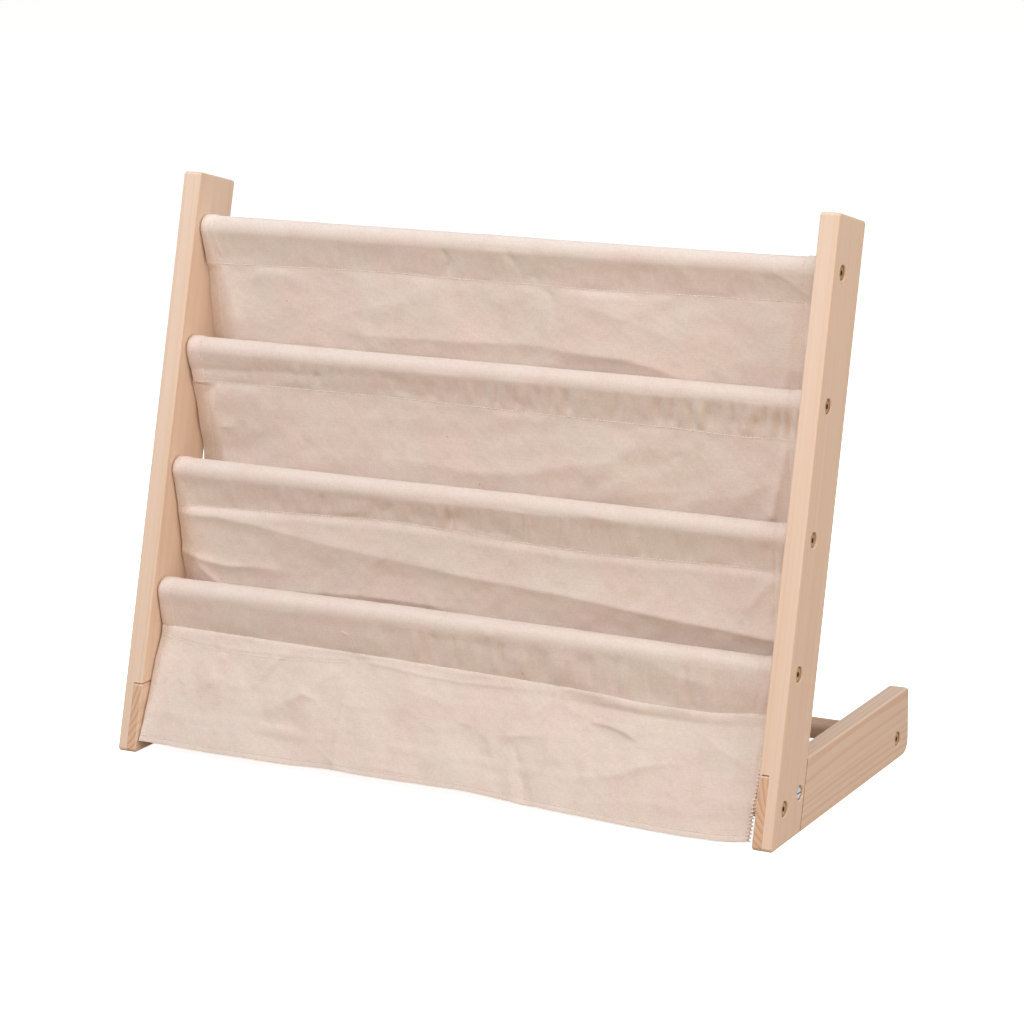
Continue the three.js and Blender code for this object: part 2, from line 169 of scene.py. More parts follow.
def grid_faces(rows, columns, closed=False):
    """Four-cornered faces of a grid of rows by columns points, numbered row by row. A closed grid joins its last
    column to its first."""
    i, j = np.meshgrid(np.arange(rows - 1), np.arange(columns if closed else columns - 1), indexing="ij")
    k = (j + 1) % columns
    return np.stack([i * columns + j, i * columns + k, (i + 1) * columns + k, (i + 1) * columns + j], -1).reshape(-1, 4)


def add_mesh(name, points, faces, material, cloth_place=None):
    """A smooth mesh object at the origin. cloth_place gives each point's place on the flat cloth in metres, for its UV
    map."""
    mesh = bpy.data.meshes.new(name)
    mesh.from_pydata(np.asarray(points, float).reshape(-1, 3), [], faces)
    mesh.polygons.foreach_set("use_smooth", np.ones(len(mesh.polygons), bool))
    if cloth_place is not None:
        corners = np.zeros(len(mesh.loops), int)
        mesh.loops.foreach_get("vertex_index", corners)
        layer = mesh.uv_layers.new(name="flat cloth")
        layer.data.foreach_set("uv", np.asarray(cloth_place, float).reshape(-1, 2)[corners].ravel())
    mesh.materials.append(material)
    made = bpy.data.objects.new(name, mesh)
    bpy.context.scene.collection.objects.link(made)
    return made


half_floor = FLOOR_SIDE / 2
floor = add_mesh("paper_floor", [
    (-half_floor, -half_floor, 0), (half_floor, -half_floor, 0), (half_floor, half_floor, 0),
    (-half_floor, half_floor, 0)], [(0, 1, 2, 3)], paper)


LAMP_AIM = Vector((0, 0, 0.25))
# Each lamp's name, place, side, power and colour
for name, place, side, power, colour in (
        ("window_front_left", (-1.2, -1.8, 2.2), 1.2, 44.0, WINDOW_LIGHT),
        ("soft_lamp_front", (0.2, -2.4, 2.2), 1.2, 14.0, WHITE),
        ("soft_lamp_front_right", (1.4, -2.2, 1.2), 1.2, 14.0, LAMP_LIGHT),
        ("soft_lamp_right", (2.6, -0.6, 1.6), 1.6, 29.0, WHITE),
        ("soft_lamp_behind", (0.6, 0.9, 2.2), 1.2, 17.5, WINDOW_LIGHT),
        ("soft_lamp_above", (0.0, -0.3, 2.4), 1.6, 5.0, WINDOW_LIGHT)):
    lamp_data = bpy.data.lights.new(name, "AREA")
    lamp_data.color = linear(colour)[:3]
    lamp_data.shape = "SQUARE"
    lamp_data.size = side
    lamp_data.energy = power
    lamp = bpy.data.objects.new(name, lamp_data)
    lamp.location = place
    lamp.rotation_euler = (LAMP_AIM - Vector(place)).to_track_quat("-Z", "Y").to_euler()
    bpy.context.scene.collection.objects.link(lamp)


# Pine boards. Each side is an upright that leans back and a foot on edge, planed clear pine with its edges eased,
# half-lapped into each other, so that the inner half of the lap shows the foot's end grain in front.
MM = 0.001
LEAN = math.radians(15)
BOARD_THICKNESS = 17.0
UPRIGHT_BREADTH = 55.0
UPRIGHT_LENGTH = 495.0
FOOT_LENGTH = 290.0
FOOT_HEIGHT = 56.0
EDGE_EASE = 1.5
EASE_STEPS = 4
CORNER_RADIUS = 3.0
HEEL_RADIUS = 12.0
CORNER_STEPS = 6
LAP_FIT = 1.1
LAP_SLIT = 0.05
SHOULDER_FIT = 0.25
OUTER_FACE = 300.0
INNER_FACE = OUTER_FACE - BOARD_THICKNESS
LAP_FACE = OUTER_FACE - BOARD_THICKNESS / 2
SMOOTH_LIMIT = math.radians(33)
PLANED_PINE = "#E8C6A8"
PINE_LATEWOOD = "#CE9E74"
PINE_STREAK = "#F1D5BE"
PINE_END = "#C08A62"
PINE_END_PALE = "#DBB08D"
# How many of each go into a metre, and how much longer each is along the grain
BENDS_PER_METRE, BEND_STRETCH = 22.0, 0.07
FIBRES_PER_METRE, STREAKS_PER_METRE, FIBRE_STRETCH = 700.0, 120.0, 0.025
RING_BEND = 0.014


def pine(name, grain_turn, pith, ring_width, ring_show, seed):
    """Planed clear pine, sanded and left matt: pale earlywood with thin darker latewood rings round a pith, fine
    fibres along the board, slow changes of tone, and a deeper colour on end grain, which drinks more light.
    grain_turn about X brings the grain to local Z. pith is the rings' centre across the grain in metres."""
    material, tree, shader = start_material(name, {"IOR": 1.5, "Roughness": 0.62})
    place = add(tree, "TexCoord").outputs["Object"]
    grained = add(tree, "Mapping", {"Vector": place, "Rotation": (grain_turn, 0, 0)})
    centred = add(tree, "Mapping", {
        "Vector": grained, "Location": (-pith[0], -pith[1], seed), "Scale": (1, 1, BEND_STRETCH)})
    wander = add(tree, "TexNoise", {"Vector": centred, "Scale": BENDS_PER_METRE, "Detail": 2.0})
    bent = add(tree, "VectorMath", {
        0: wander.outputs["Color"], 1: (RING_BEND, RING_BEND, 0.0), 2: centred}, operation="MULTIPLY_ADD")
    across = add(tree, "VectorMath", {0: bent, 1: (1, 1, 0)}, operation="MULTIPLY")
    radius = add(tree, "VectorMath", {0: across}, operation="LENGTH")
    rings = add(tree, "Math", {0: radius, 1: 1 / ring_width}, operation="MULTIPLY")
    uneven = add(tree, "TexNoise", {"W": rings, "Scale": 0.6, "Detail": 0.0}, noise_dimensions="1D")
    year = add(tree, "Math", {0: rings}, operation="FRACT")
    late = add(tree, "ValToRGB", {0: year})
    late.color_ramp.interpolation = "EASE"
    for element, position, shade in zip(late.color_ramp.elements, (0.35, 0.9), (0, 1)):
        element.color = (shade, shade, shade, 1)
        element.position = position
    late.color_ramp.elements.new(0.98).color = (0, 0, 0, 1)
    strength = add(tree, "Math", {0: late, 1: uneven}, operation="MULTIPLY")
    fibre_place = add(tree, "Mapping", {"Vector": grained, "Scale": (1, 1, FIBRE_STRETCH)})
    fibres = add(tree, "TexNoise", {"Vector": fibre_place, "Scale": FIBRES_PER_METRE, "Detail": 3.0})
    streaks = add(tree, "TexNoise", {"Vector": fibre_place, "Scale": STREAKS_PER_METRE, "Detail": 2.0})

    def blended(factor, first, second):
        """The first colour, mixed with the second by the factor."""
        return add(tree, "Mix", {"Factor": factor, "A": first, "B": second}, data_type="RGBA")

    streaky = blended(streaks, linear(PLANED_PINE), linear(PINE_STREAK))
    shown = add(tree, "Math", {0: strength, 1: ring_show}, operation="MULTIPLY")
    ringed = blended(shown, streaky, linear(PINE_LATEWOOD))
    facing = add(tree, "VectorMath", {
        0: add(tree, "NewGeometry").outputs["Normal"],
        1: (0.0, math.sin(grain_turn), math.cos(grain_turn))}, operation="DOT_PRODUCT")
    end = add(tree, "MapRange", {
        "Value": add(tree, "Math", {0: facing}, operation="ABSOLUTE"), "From Min": 0.7, "From Max": 0.95})
    late_at_end = add(tree, "Math", {0: late, 1: 0.75}, operation="MULTIPLY")
    end_ringed = blended(late_at_end, linear(PINE_END_PALE), linear(PINE_END))
    end_share = add(tree, "Math", {0: end, 1: 0.85}, operation="MULTIPLY")
    coloured = blended(end_share, ringed, end_ringed)
    raised = add(tree, "Math", {0: strength, 1: 0.6, 2: fibres}, operation="MULTIPLY_ADD")
    bump = add(tree, "Bump", {"Height": raised, "Strength": 0.25, "Distance": 0.0002})
    fill(tree, shader, {"Base Color": coloured, "Normal": bump})
    return material


def rounded(corners):
    """An outline whose corners are arcs: each arc's points turn from one side's normal to the next about a centre that
    lies the radius in from both sides."""
    points = []
    for k, (y, z, radius) in enumerate(corners):
        corner = np.array([y, z])
        before = np.array(corners[k - 1][:2]) - corner
        after = np.array(corners[(k + 1) % len(corners)][:2]) - corner
        before, after = before / np.linalg.norm(before), after / np.linalg.norm(after)
        half = math.acos(float(before @ after)) / 2
        middle = corner + (before + after) / np.linalg.norm(before + after) * radius / math.sin(half)
        start = corner + before * radius / math.tan(half) - middle
        sweep = np.linspace(0, math.pi - 2 * half, CORNER_STEPS + 1)
        points.append(middle + np.outer(np.cos(sweep), start) + np.outer(np.sin(sweep), (-start[1], start[0])))
    return np.concatenate(points)


def prism(outline, low, high):
    """Points and faces of an outline in the side view, [y, z], carried from x = low to x = high."""
    count = len(outline)
    points = [np.column_stack([np.full(count, x), outline]) for x in (low, high)]
    walls = [(k, (k + 1) % count, (k + 1) % count + count, k + count) for k in range(count)]
    return np.concatenate(points), [tuple(range(count))[::-1], tuple(range(count, 2 * count)), *walls]


def turned(profile, centre, flats=64):
    """Points and faces of a profile of (x, radius) turned about a line along X through centre, [y, z]. A radius may
    be an array, one value per flat. Both ends lie on the line."""
    angle = np.linspace(0, 2 * math.pi, flats, endpoint=False)
    rings = np.stack([
        np.column_stack([np.full(flats, x), centre[0] + r * np.cos(angle), centre[1] + r * np.sin(angle)])
        for x, r in profile[1:-1]])
    count = len(rings) * flats
    tips = [(profile[0][0], *centre), (profile[-1][0], *centre)]
    faces = [tuple(face) for face in grid_faces(len(rings), flats, closed=True)]
    faces += [(count, (k + 1) % flats, k) for k in range(flats)]
    faces += [(count + 1, count - flats + k, count - flats + (k + 1) % flats) for k in range(flats)]
    return np.concatenate([rings.reshape(-1, 3), tips]), faces


def outward(mesh):
    """Turns every face of a closed mesh outwards: its volume, a sum over its triangles, has to be above zero."""
    mesh.calc_loop_triangles()
    corners = np.array([[mesh.vertices[v].co for v in t.vertices] for t in mesh.loop_triangles])
    if np.einsum("ij,ij->", corners[:, 0], np.cross(corners[:, 1], corners[:, 2])) < 0:
        mesh.flip_normals()


def in_part(points):
    """Millimetres in the side view's frame, whose y starts at the foot's front end, to metres in the part's frame."""
    return (np.asarray(points, float) - (0, FOOT_LENGTH / 2, 0)) * MM


def cut(solid, tools):
    """solid with each tool, a closed mesh object, taken away exactly. The tools are then removed."""
    for tool in tools:
        outward(tool.data)
        modifier = solid.modifiers.new("cut", "BOOLEAN")
        modifier.operation = "DIFFERENCE"
        modifier.solver = "EXACT"
        modifier.object = tool
        settle(solid)
        bpy.data.objects.remove(tool)


def settle(made):
    """Applies the modifiers of made to its mesh."""
    applied = bpy.data.meshes.new_from_object(made.evaluated_get(bpy.context.evaluated_depsgraph_get()))
    made.modifiers.clear()
    made.data = applied


def fixed(made, node):
    """The piece rides on the part's one body, in place of its CAD node, which it hides."""
    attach(made, "root")
    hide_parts(node)


def crisp(made):
    """Smooth shading that stops at edges sharper than SMOOTH_LIMIT, with flat faces kept flat."""
    made.data.polygons.foreach_set("use_smooth", np.ones(len(made.data.polygons), bool))
    made.data.set_sharp_from_angle(angle=SMOOTH_LIMIT)
    weighted = made.modifiers.new("flat faces", "WEIGHTED_NORMAL")
    weighted.keep_sharp = True
    settle(made)


def along_upright(along, across):
    """Place in the side view of a point along and across the upright."""
    return (along * math.sin(LEAN) + across * math.cos(LEAN), along * math.cos(LEAN) - across * math.sin(LEAN))


def node_centre(name):
    """Middle of a CAD node in the side view, in millimetres."""
    low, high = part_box(name)
    middle = (low + high) / 2 / MM
    return (middle.y + FOOT_LENGTH / 2, middle.z)


COUNTERBORE = 12.4
COUNTERBORE_DEPTH = 4.5
MOUTH_EASE = 0.7
BORE = 5.8
LAP_COUNTERBORE = 11.6
LAP_COUNTERBORE_DEPTH = 3.4
LAP_BORE = 4.6
# How far a saw block reaches past the board, and how far back the upright's goes
SAW_PAST = 50.0
SAW_REAR = 120.0


def counterbored(place, diameter, depth, bore, side):
    """The hole for a sunk screw in a board of that side: a bore, a wider counterbore and a small flare at its mouth."""
    profile = [
        (INNER_FACE - 5, 0), (INNER_FACE - 5, bore / 2), (OUTER_FACE - depth, bore / 2),
        (OUTER_FACE - depth, diameter / 2), (OUTER_FACE - MOUTH_EASE, diameter / 2),
        (OUTER_FACE + MOUTH_EASE, diameter / 2 + 2 * MOUTH_EASE), (OUTER_FACE + MOUTH_EASE, 0)]
    points, faces = turned([(side * x, r) for x, r in profile], place)
    return add_mesh("hole", in_part(points), faces, None)


def block(corners, low, high):
    """A plain block from its corners in the side view and two x."""
    points, faces = prism(np.array(corners), low, high)
    return add_mesh("block", in_part(points), faces, None)


top_front = along_upright(UPRIGHT_LENGTH, 0)
top_rear = along_upright(UPRIGHT_LENGTH, UPRIGHT_BREADTH)
floor_rear = UPRIGHT_BREADTH / math.cos(LEAN)
upright_outline = rounded([
    (0, 0, CORNER_RADIUS), (floor_rear, 0, CORNER_RADIUS), (*top_rear, CORNER_RADIUS), (*top_front, CORNER_RADIUS)])
foot_outline = rounded([
    (0, 0, CORNER_RADIUS), (FOOT_LENGTH, 0, HEEL_RADIUS), (FOOT_LENGTH, FOOT_HEIGHT, CORNER_RADIUS),
    (FOOT_HEIGHT * math.tan(LEAN), FOOT_HEIGHT, 1.2 * EDGE_EASE)])
dowel_places = [node_centre(f"dowel_{number}") for number in range(1, 6)]
rail_place = node_centre("rear_rail")
lap_screw_place = node_centre("screw_lap_right")


def board(name, outline, away, lap_from, lap_to, holes, material, side, node):
    """A board from its outline, with its edges eased, then the half-lap sawn away between two x, then its holes cut."""
    low, high = sorted((side * INNER_FACE, side * OUTER_FACE))
    points, faces = prism(outline, low, high)
    made = add_mesh(name, in_part(points), faces, material)
    outward(made.data)
    ease = made.modifiers.new("eased edges", "BEVEL")
    ease.width = EDGE_EASE * MM
    ease.segments = EASE_STEPS
    ease.limit_method = "ANGLE"
    ease.angle_limit = math.radians(45)
    ease.use_clamp_overlap = False
    settle(made)
    cut(made, [block(away, *sorted((side * lap_from, side * lap_to)))])
    cut(made, [counterbored(place, *sizes, side) for place, *sizes in holes])
    crisp(made)
    fixed(made, node)


upright_holes = [(place, COUNTERBORE, COUNTERBORE_DEPTH, BORE) for place in dowel_places]
foot_holes = [(place, COUNTERBORE, COUNTERBORE_DEPTH, BORE) for place in (dowel_places[-1], rail_place)]
lap_hole = (lap_screw_place, LAP_COUNTERBORE, LAP_COUNTERBORE_DEPTH, LAP_BORE)
lap_top = FOOT_HEIGHT + LAP_FIT
foot_top = FOOT_HEIGHT + SAW_PAST
upright_lap = [(-SAW_PAST, -SAW_PAST), (SAW_REAR, -SAW_PAST), (SAW_REAR, lap_top), (-SAW_PAST, lap_top)]
shoulder = [floor_rear + SHOULDER_FIT + height * math.tan(LEAN) for height in (-SAW_PAST, foot_top)]
foot_lap = [(-SAW_PAST, -SAW_PAST), (shoulder[0], -SAW_PAST), (shoulder[1], foot_top), (-SAW_PAST, foot_top)]
for side, hand in ((-1, "left"), (1, "right")):
    board(f"pine_upright_{hand}", upright_outline, upright_lap, OUTER_FACE - SAW_PAST, LAP_FACE + LAP_SLIT,
          [*upright_holes, lap_hole],
          pine(f"planed pine, upright {hand}", LEAN, (side * 0.36, -0.10), 0.0034, 0.17, 0.31 * side), side,
          f"upright_{hand}")
    board(f"pine_foot_{hand}", foot_outline, foot_lap, LAP_FACE - LAP_SLIT, OUTER_FACE + SAW_PAST,
          [*foot_holes, lap_hole],
          pine(f"planed pine, foot {hand}", math.pi / 2, (side * 0.335, -0.047), 0.0042, 0.58, 0.17 * side), side,
          f"foot_{hand}")


# Dowels. Five turned pine dowels between the uprights and a rail between the heels, each with a pilot hole in both
# ends for its screw. The four upper ones carry the sling.
DOWEL_RADIUS = 9.0
DOWEL_END = INNER_FACE - 0.3
DOWEL_EASE = 0.8
PILOT_DEPTH = 38.0
dowel_pine = pine("turned pine dowel", 0.0, (0.004, 0.05), 0.0028, 0.2, 0.7)
mapping = next(node for node in dowel_pine.node_tree.nodes if node.type == "MAPPING")
mapping.inputs["Rotation"].default_value = (0.0, math.pi / 2, 0.0)
round_bars = [*((f"dowel_{k + 1}", place) for k, place in enumerate(dowel_places)), ("rear_rail", rail_place)]
for name, place in round_bars:
    half_profile = [
        (DOWEL_END - PILOT_DEPTH, 0), (DOWEL_END - PILOT_DEPTH, BORE / 2), (DOWEL_END, BORE / 2),
        (DOWEL_END, DOWEL_RADIUS - DOWEL_EASE), (DOWEL_END - DOWEL_EASE / 3, DOWEL_RADIUS - DOWEL_EASE / 3),
        (DOWEL_END - DOWEL_EASE, DOWEL_RADIUS)]
    points, faces = turned([*half_profile, *((-x, r) for x, r in half_profile[::-1])], place)
    made = add_mesh(f"pine_{name}", in_part(points), faces, dowel_pine)
    outward(made.data)
    crisp(made)
    fixed(made, name)


# Screws. Bronze plated furniture screws with a hex socket, sunk in their counterbores and driven into the dowels'
# ends, and one bright zinc plated screw with a slot in each half-lap.
BRONZE_PLATE = "#6B4B27"
BRONZE_WORN = "#A07C44"
ZINC_PLATE = "#8C8A8C"
HEAD_SEAT = OUTER_FACE - 4.2
HEAD_RADIUS = 5.4
HEAD_HEIGHT = 3.2
HEAD_CROWN = 0.8
SHANK_RADIUS = 2.5
SCREW_LENGTH = 42.0
SOCKET_FLATS = 4.0
SOCKET_DEPTH = 2.2
LAP_HEAD_SEAT = OUTER_FACE - 3.1
# The lap screw's profile, (way out from its head's seat, radius), and its slot
LAP_SCREW_PROFILE = [(-11, 0), (-10.8, 0.5), (-9.5, 1.9), (0, 1.9), (0, 5.2), (1.4, 5.2), (2.1, 4.5), (2.5, 3.0),
                     (2.6, 1.5), (2.6, 0)]
SLOT_FLOOR = 1.6
SLOT_HALF_LENGTH, SLOT_HALF_WIDTH = 7, 0.7
ZINC_WORN = "#B0AFB2"
RUBS_PER_METRE = 600.0


def plated(name, colour, worn, roughness):
    """Electroplated steel: a thin metal skin, smooth but not polished, a little brighter in patches where handling
    and the driver have rubbed it."""
    material, tree, shader = start_material(name, {"Metallic": 1.0})
    place = add(tree, "TexCoord").outputs["Object"]
    rubbed = add(tree, "TexNoise", {"Vector": place, "Scale": RUBS_PER_METRE, "Detail": 3.0})
    mixed = add(tree, "Mix", {"Factor": rubbed, "A": linear(colour), "B": linear(worn)}, data_type="RGBA")
    rough = add(tree, "MapRange", {"Value": rubbed, "To Min": roughness - 0.08, "To Max": roughness + 0.08})
    fill(tree, shader, {"Base Color": mixed, "Roughness": rough})
    return material


bronze = plated("bronze plated steel", BRONZE_PLATE, BRONZE_WORN, 0.36)
zinc = plated("bright zinc plated steel", ZINC_PLATE, ZINC_WORN, 0.38)
SCREW_FLATS = 48
flat_angle = np.linspace(0, 2 * math.pi, SCREW_FLATS, endpoint=False)
hexagon = SOCKET_FLATS / 2 / np.cos((flat_angle + math.pi / 6) % (math.pi / 3) - math.pi / 6)
top = HEAD_SEAT + HEAD_HEIGHT
for name, place in round_bars:
    for side, hand in ((-1, "left"), (1, "right")):
        profile = [
            (HEAD_SEAT - SCREW_LENGTH, 0), (HEAD_SEAT - SCREW_LENGTH + 0.3, 0.6),
            (HEAD_SEAT - SCREW_LENGTH + 3, SHANK_RADIUS), (HEAD_SEAT, SHANK_RADIUS), (HEAD_SEAT, HEAD_RADIUS),
            (top - HEAD_CROWN, HEAD_RADIUS), (top - HEAD_CROWN / 3, HEAD_RADIUS - HEAD_CROWN / 3),
            (top, HEAD_RADIUS - HEAD_CROWN), (top, hexagon + 0.35), (top - 0.3, hexagon),
            (top - SOCKET_DEPTH, hexagon), (top - SOCKET_DEPTH - 0.5, 0)]
        points, faces = turned([(side * x, r) for x, r in profile], place, SCREW_FLATS)
        made = add_mesh(f"bronze_screw_{name}_{hand}", in_part(points), faces, bronze)
        outward(made.data)
        crisp(made)
        fixed(made, f"screw_{name}_{hand}")
for side, hand in ((-1, "left"), (1, "right")):
    profile = [(side * (LAP_HEAD_SEAT + x), r) for x, r in LAP_SCREW_PROFILE]
    points, faces = turned(profile, lap_screw_place, SCREW_FLATS)
    made = add_mesh(f"zinc_screw_lap_{hand}", in_part(points), faces, zinc)
    outward(made.data)
    y, z = lap_screw_place
    slot = block([(y + a * SLOT_HALF_LENGTH, z + b * SLOT_HALF_WIDTH) for a, b in ((-1, -1), (1, -1), (1, 1), (-1, 1))],
                 *sorted((side * (LAP_HEAD_SEAT + SLOT_FLOOR), side * (LAP_HEAD_SEAT + 6))))
    cut(made, [slot])
    made.data.materials.clear()
    made.data.materials.append(zinc)
    crisp(made)
    fixed(made, f"screw_lap_{hand}")


# The sling. One long piece of unbleached cotton canvas, hemmed along its sides, is sewn through below each of the
# four upper dowels. That makes a sleeve round each dowel and a pocket between one dowel and the next.
CLOTH_HALF_WIDTH = 282.0
CLOTH_THICKNESS = 1.0
SEAM_GAP = 0.1
SLEEVE_EASE = 0.35
SLEEVE_RADIUS = DOWEL_RADIUS + SLEEVE_EASE + CLOTH_THICKNESS / 2
HEM_WIDTH = 12.0
HEM_LAYER = 0.5
HEM_STAND, STITCH_SINK = 0.6, 0.3
LAYER_SHIFT = CLOTH_THICKNESS / 2 + SEAM_GAP
# How far each seam lies below its dowel's middle, [x, drop], from the top sleeve down
SEAM_DROPS = [
    [(-283, 29.4), (-266, 29.9), (-180, 27.8), (-94, 26.2), (-52, 27.4), (26, 27.1), (91, 27.5), (161, 26.2),
     (223, 25.5), (271, 24.4)],
    [(-280, 27.6), (-263, 26.0), (-81, 25.2), (8, 26.4), (95, 27.5), (174, 27.9), (228, 30.0), (271, 28.3)],
    [(-284, 29.0), (-170, 25.5), (-67, 22.2), (30, 27.0), (116, 30.0), (230, 27.0), (273, 27.2)],
    [(-286, 27.5), (-73, 29.8), (129, 34.3), (171, 37.0), (234, 37.5), (271, 33.0)],
]
# How much the cloth stands off the top of each dowel, [x, height]
SLEEVE_SLACK = [
    [(-282, 0.2), (-94, 0.4), (90, 0.0), (250, 0.4), (282, 1.2)],
    [(-282, 0.6), (-94, 0.0), (60, 0.4), (282, 0.2)],
    [(-282, 1.2), (-94, 0.6), (60, 0.8), (282, 0.4)],
    [(-282, 3.2), (-200, 4.2), (-55, 4.6), (90, 3.2), (200, 1.6), (282, 1.0)],
]
# How far each seam lies in front of its dowel's middle, and how far it stands forward as a fold, [x, distance]
SEAM_FORWARD = [[(0, 3.0)], [(0, 3.0)], [(0, 3.0)], [(-282, 4.5), (-94, 5.0), (95, 5.0), (200, 6.5), (282, 6.0)]]
SEAM_FOLD = [[(0, 0.0)], [(-282, 0.0), (100, 0.0), (240, 0.5)], [(0, 0.0)],
             [(-282, 0.4), (60, 0.4), (100, 0.8), (125, 2.4), (160, 3.2), (190, 2.8), (220, 2.4), (258, 1.6),
              (282, 1.2)]]
FOLD_REACH = 6.5
# How far the front of each sleeve bulges below its dowel
SLEEVE_BULGE = [[(0, -0.4)], [(-282, 0.6), (-150, 0.3), (-60, -0.5), (282, -0.3)], [(0, -0.3)],
                [(-282, 0.8), (-94, 1.2), (0, 1.8), (100, 1.6), (240, 2.6), (282, 2.0)]]
# The slack is highest at SLACK_TOP round the dowel. The lowest sleeve's also hangs full in front, round FULLEST, and
# its grid columns from FIRST_SMOOTHED to LAST_SMOOTHED are rounded there
LOWEST = 4
SLACK_TOP = math.radians(100)
FRONT_FULLNESS = 1.5
FULLEST, FULLEST_SPREAD = math.radians(165), 0.55
FRONT_SMOOTHING = 30
FIRST_SMOOTHED, LAST_SMOOTHED = 26, -6
# The way from a sleeve's seam up to where the cloth meets the dowel
UP_TO_DOWEL = 26.0
# How far each seam's thread has drawn in the cloth's left edge, and the lowest one the right edge, where the apron's
# raw edge starts
SEAM_DRAWN_IN = [1.5, 2.0, 0.4, 0.5]
RAW_EDGE_DRAWN_IN = 3.0
# Places across the cloth, as shares of its half width and in millimetres: 2 mm apart, and 0.8 mm at the hems
end_steps = np.arange(0, 16, 0.8) / CLOTH_HALF_WIDTH
share = np.concatenate([-1 + end_steps, np.linspace(-1, 1, 283)[9:-9], 1 - end_steps[::-1]])
station = share * CLOTH_HALF_WIDTH


def eased(table, at, blur=9.0):
    """Values of a table [at, value] in straight steps, averaged under a Gaussian of that width."""
    shift = np.linspace(-2, 2, 9)
    weight = np.exp(-shift ** 2 / 2)
    where, value = np.array(table, float).T
    return (np.interp(np.asarray(at)[..., None] + shift * blur, where, value) * weight).sum(-1) / weight.sum()


def smooth_step(t):
    """3t^2 - 2t^3, held at 0 and 1 outside."""
    t = np.clip(t, 0, 1)
    return t * t * (3 - 2 * t)


def rumple(a, b, wave, seed, stretch=1.0, waves=26):
    """Soft unevenness of about unit height: a sum of sine waves of lengths near wave, in directions and phases drawn
    from the seed. stretch makes them longer along a."""
    draw = np.random.default_rng(seed)
    length = wave * draw.uniform(0.7, 1.9, waves)
    turn = draw.uniform(0, math.pi, waves)
    phase = draw.uniform(0, 2 * math.pi, waves)
    total = np.zeros(np.broadcast(a, b).shape)
    for ka, kb, start in zip(np.cos(turn) / stretch / length, np.sin(turn) / length, phase):
        total += np.sin(2 * math.pi * (a * ka + b * kb) + start)
    return total / math.sqrt(waves / 2)


def crease(x, z, line, above, below, crest=0.7):
    """A fold along a line of points [x, z, height]. On each side it falls off as a tent with a blunt crest,
    exp(-(sqrt(d^2 + crest^2) - crest) / reach), where the reach above holds on the left of the line's direction."""
    line = np.array(line, float)
    best = np.full(np.broadcast(x, z).shape, 1e9)
    side, height = np.zeros_like(best), np.zeros_like(best)
    for (x0, z0, h0), (x1, z1, h1) in zip(line[:-1], line[1:]):
        length = math.hypot(x1 - x0, z1 - z0)
        ux, uz = (x1 - x0) / length, (z1 - z0) / length
        t = np.clip((x - x0) * ux + (z - z0) * uz, 0, length)
        away = np.hypot(x - x0 - t * ux, z - z0 - t * uz)
        nearer = away < best
        best = np.where(nearer, away, best)
        side = np.where(nearer, ux * (z - z0) - uz * (x - x0), side)
        height = np.where(nearer, h0 + (h1 - h0) * smooth_step(t / length), height)
    reach = above + (below - above) * smooth_step(0.5 - side / 2 / crest)
    return height * np.exp(-(np.sqrt(best ** 2 + crest ** 2) - crest) / reach)


def creased(x, z, creases):
    """The sum of a table's creases, each (line, above, below) or (line, above, below, crest)."""
    return sum(crease(x, z, *row) for row in creases)


def facing_out(middle):
    """Unit normals of a grid whose rows run to +X and whose columns run down the front: the way down times the way
    along."""
    normal = np.cross(np.gradient(middle, axis=1), np.gradient(middle, axis=0))
    return normal / np.linalg.norm(normal, axis=2, keepdims=True)


# 1 at the right or left end of each row across the cloth, and 0 further in
at_right = smooth_step((station - 252) / 30)[:, None]
at_left_end = smooth_step(-(station + 200) / 70)[:, None]


def drawn_in(number, fallen, reach):
    """How far a seam's thread has drawn in the left edge: a Gaussian of the way fallen from it."""
    return SEAM_DRAWN_IN[number - 1] * np.exp(-(fallen / reach) ** 2) * at_left_end


def gathered_below(number, fallen, x):
    """A sleeve's gathers, running out below its seam."""
    height = eased(GATHER_HEIGHT[number - 1], x, 12)
    return 0.2 * height * rumple(fallen, x, 7.5, 60 + number, 9.0) * np.exp(-fallen / 9)


def hem_relief(from_edge):
    """A hem is two layers thick, so it stands proud up to its row of stitches, which sinks in."""
    stitches = np.exp(-((from_edge - HEM_WIDTH) / 1.1) ** 2)
    return HEM_STAND * smooth_step((HEM_WIDTH - from_edge) / 2) - STITCH_SINK * stitches


UNBLEACHED = "#E9D8C9"
CANVAS_ROSY = "#EAD3C6"
CANVAS_PALE = "#F1E3D6"
CANVAS_WARM = "#D9C2AC"
CANVAS_NEP = "#A88F7A"
THREAD_PITCH = 0.0009
SLUB_WIDTH = 0.0016
NAP_WAVE = 0.0022
PATCH_WAVE = 0.017
CLOUD_WAVE = 0.05
NEPS_PER_METRE = 30.0


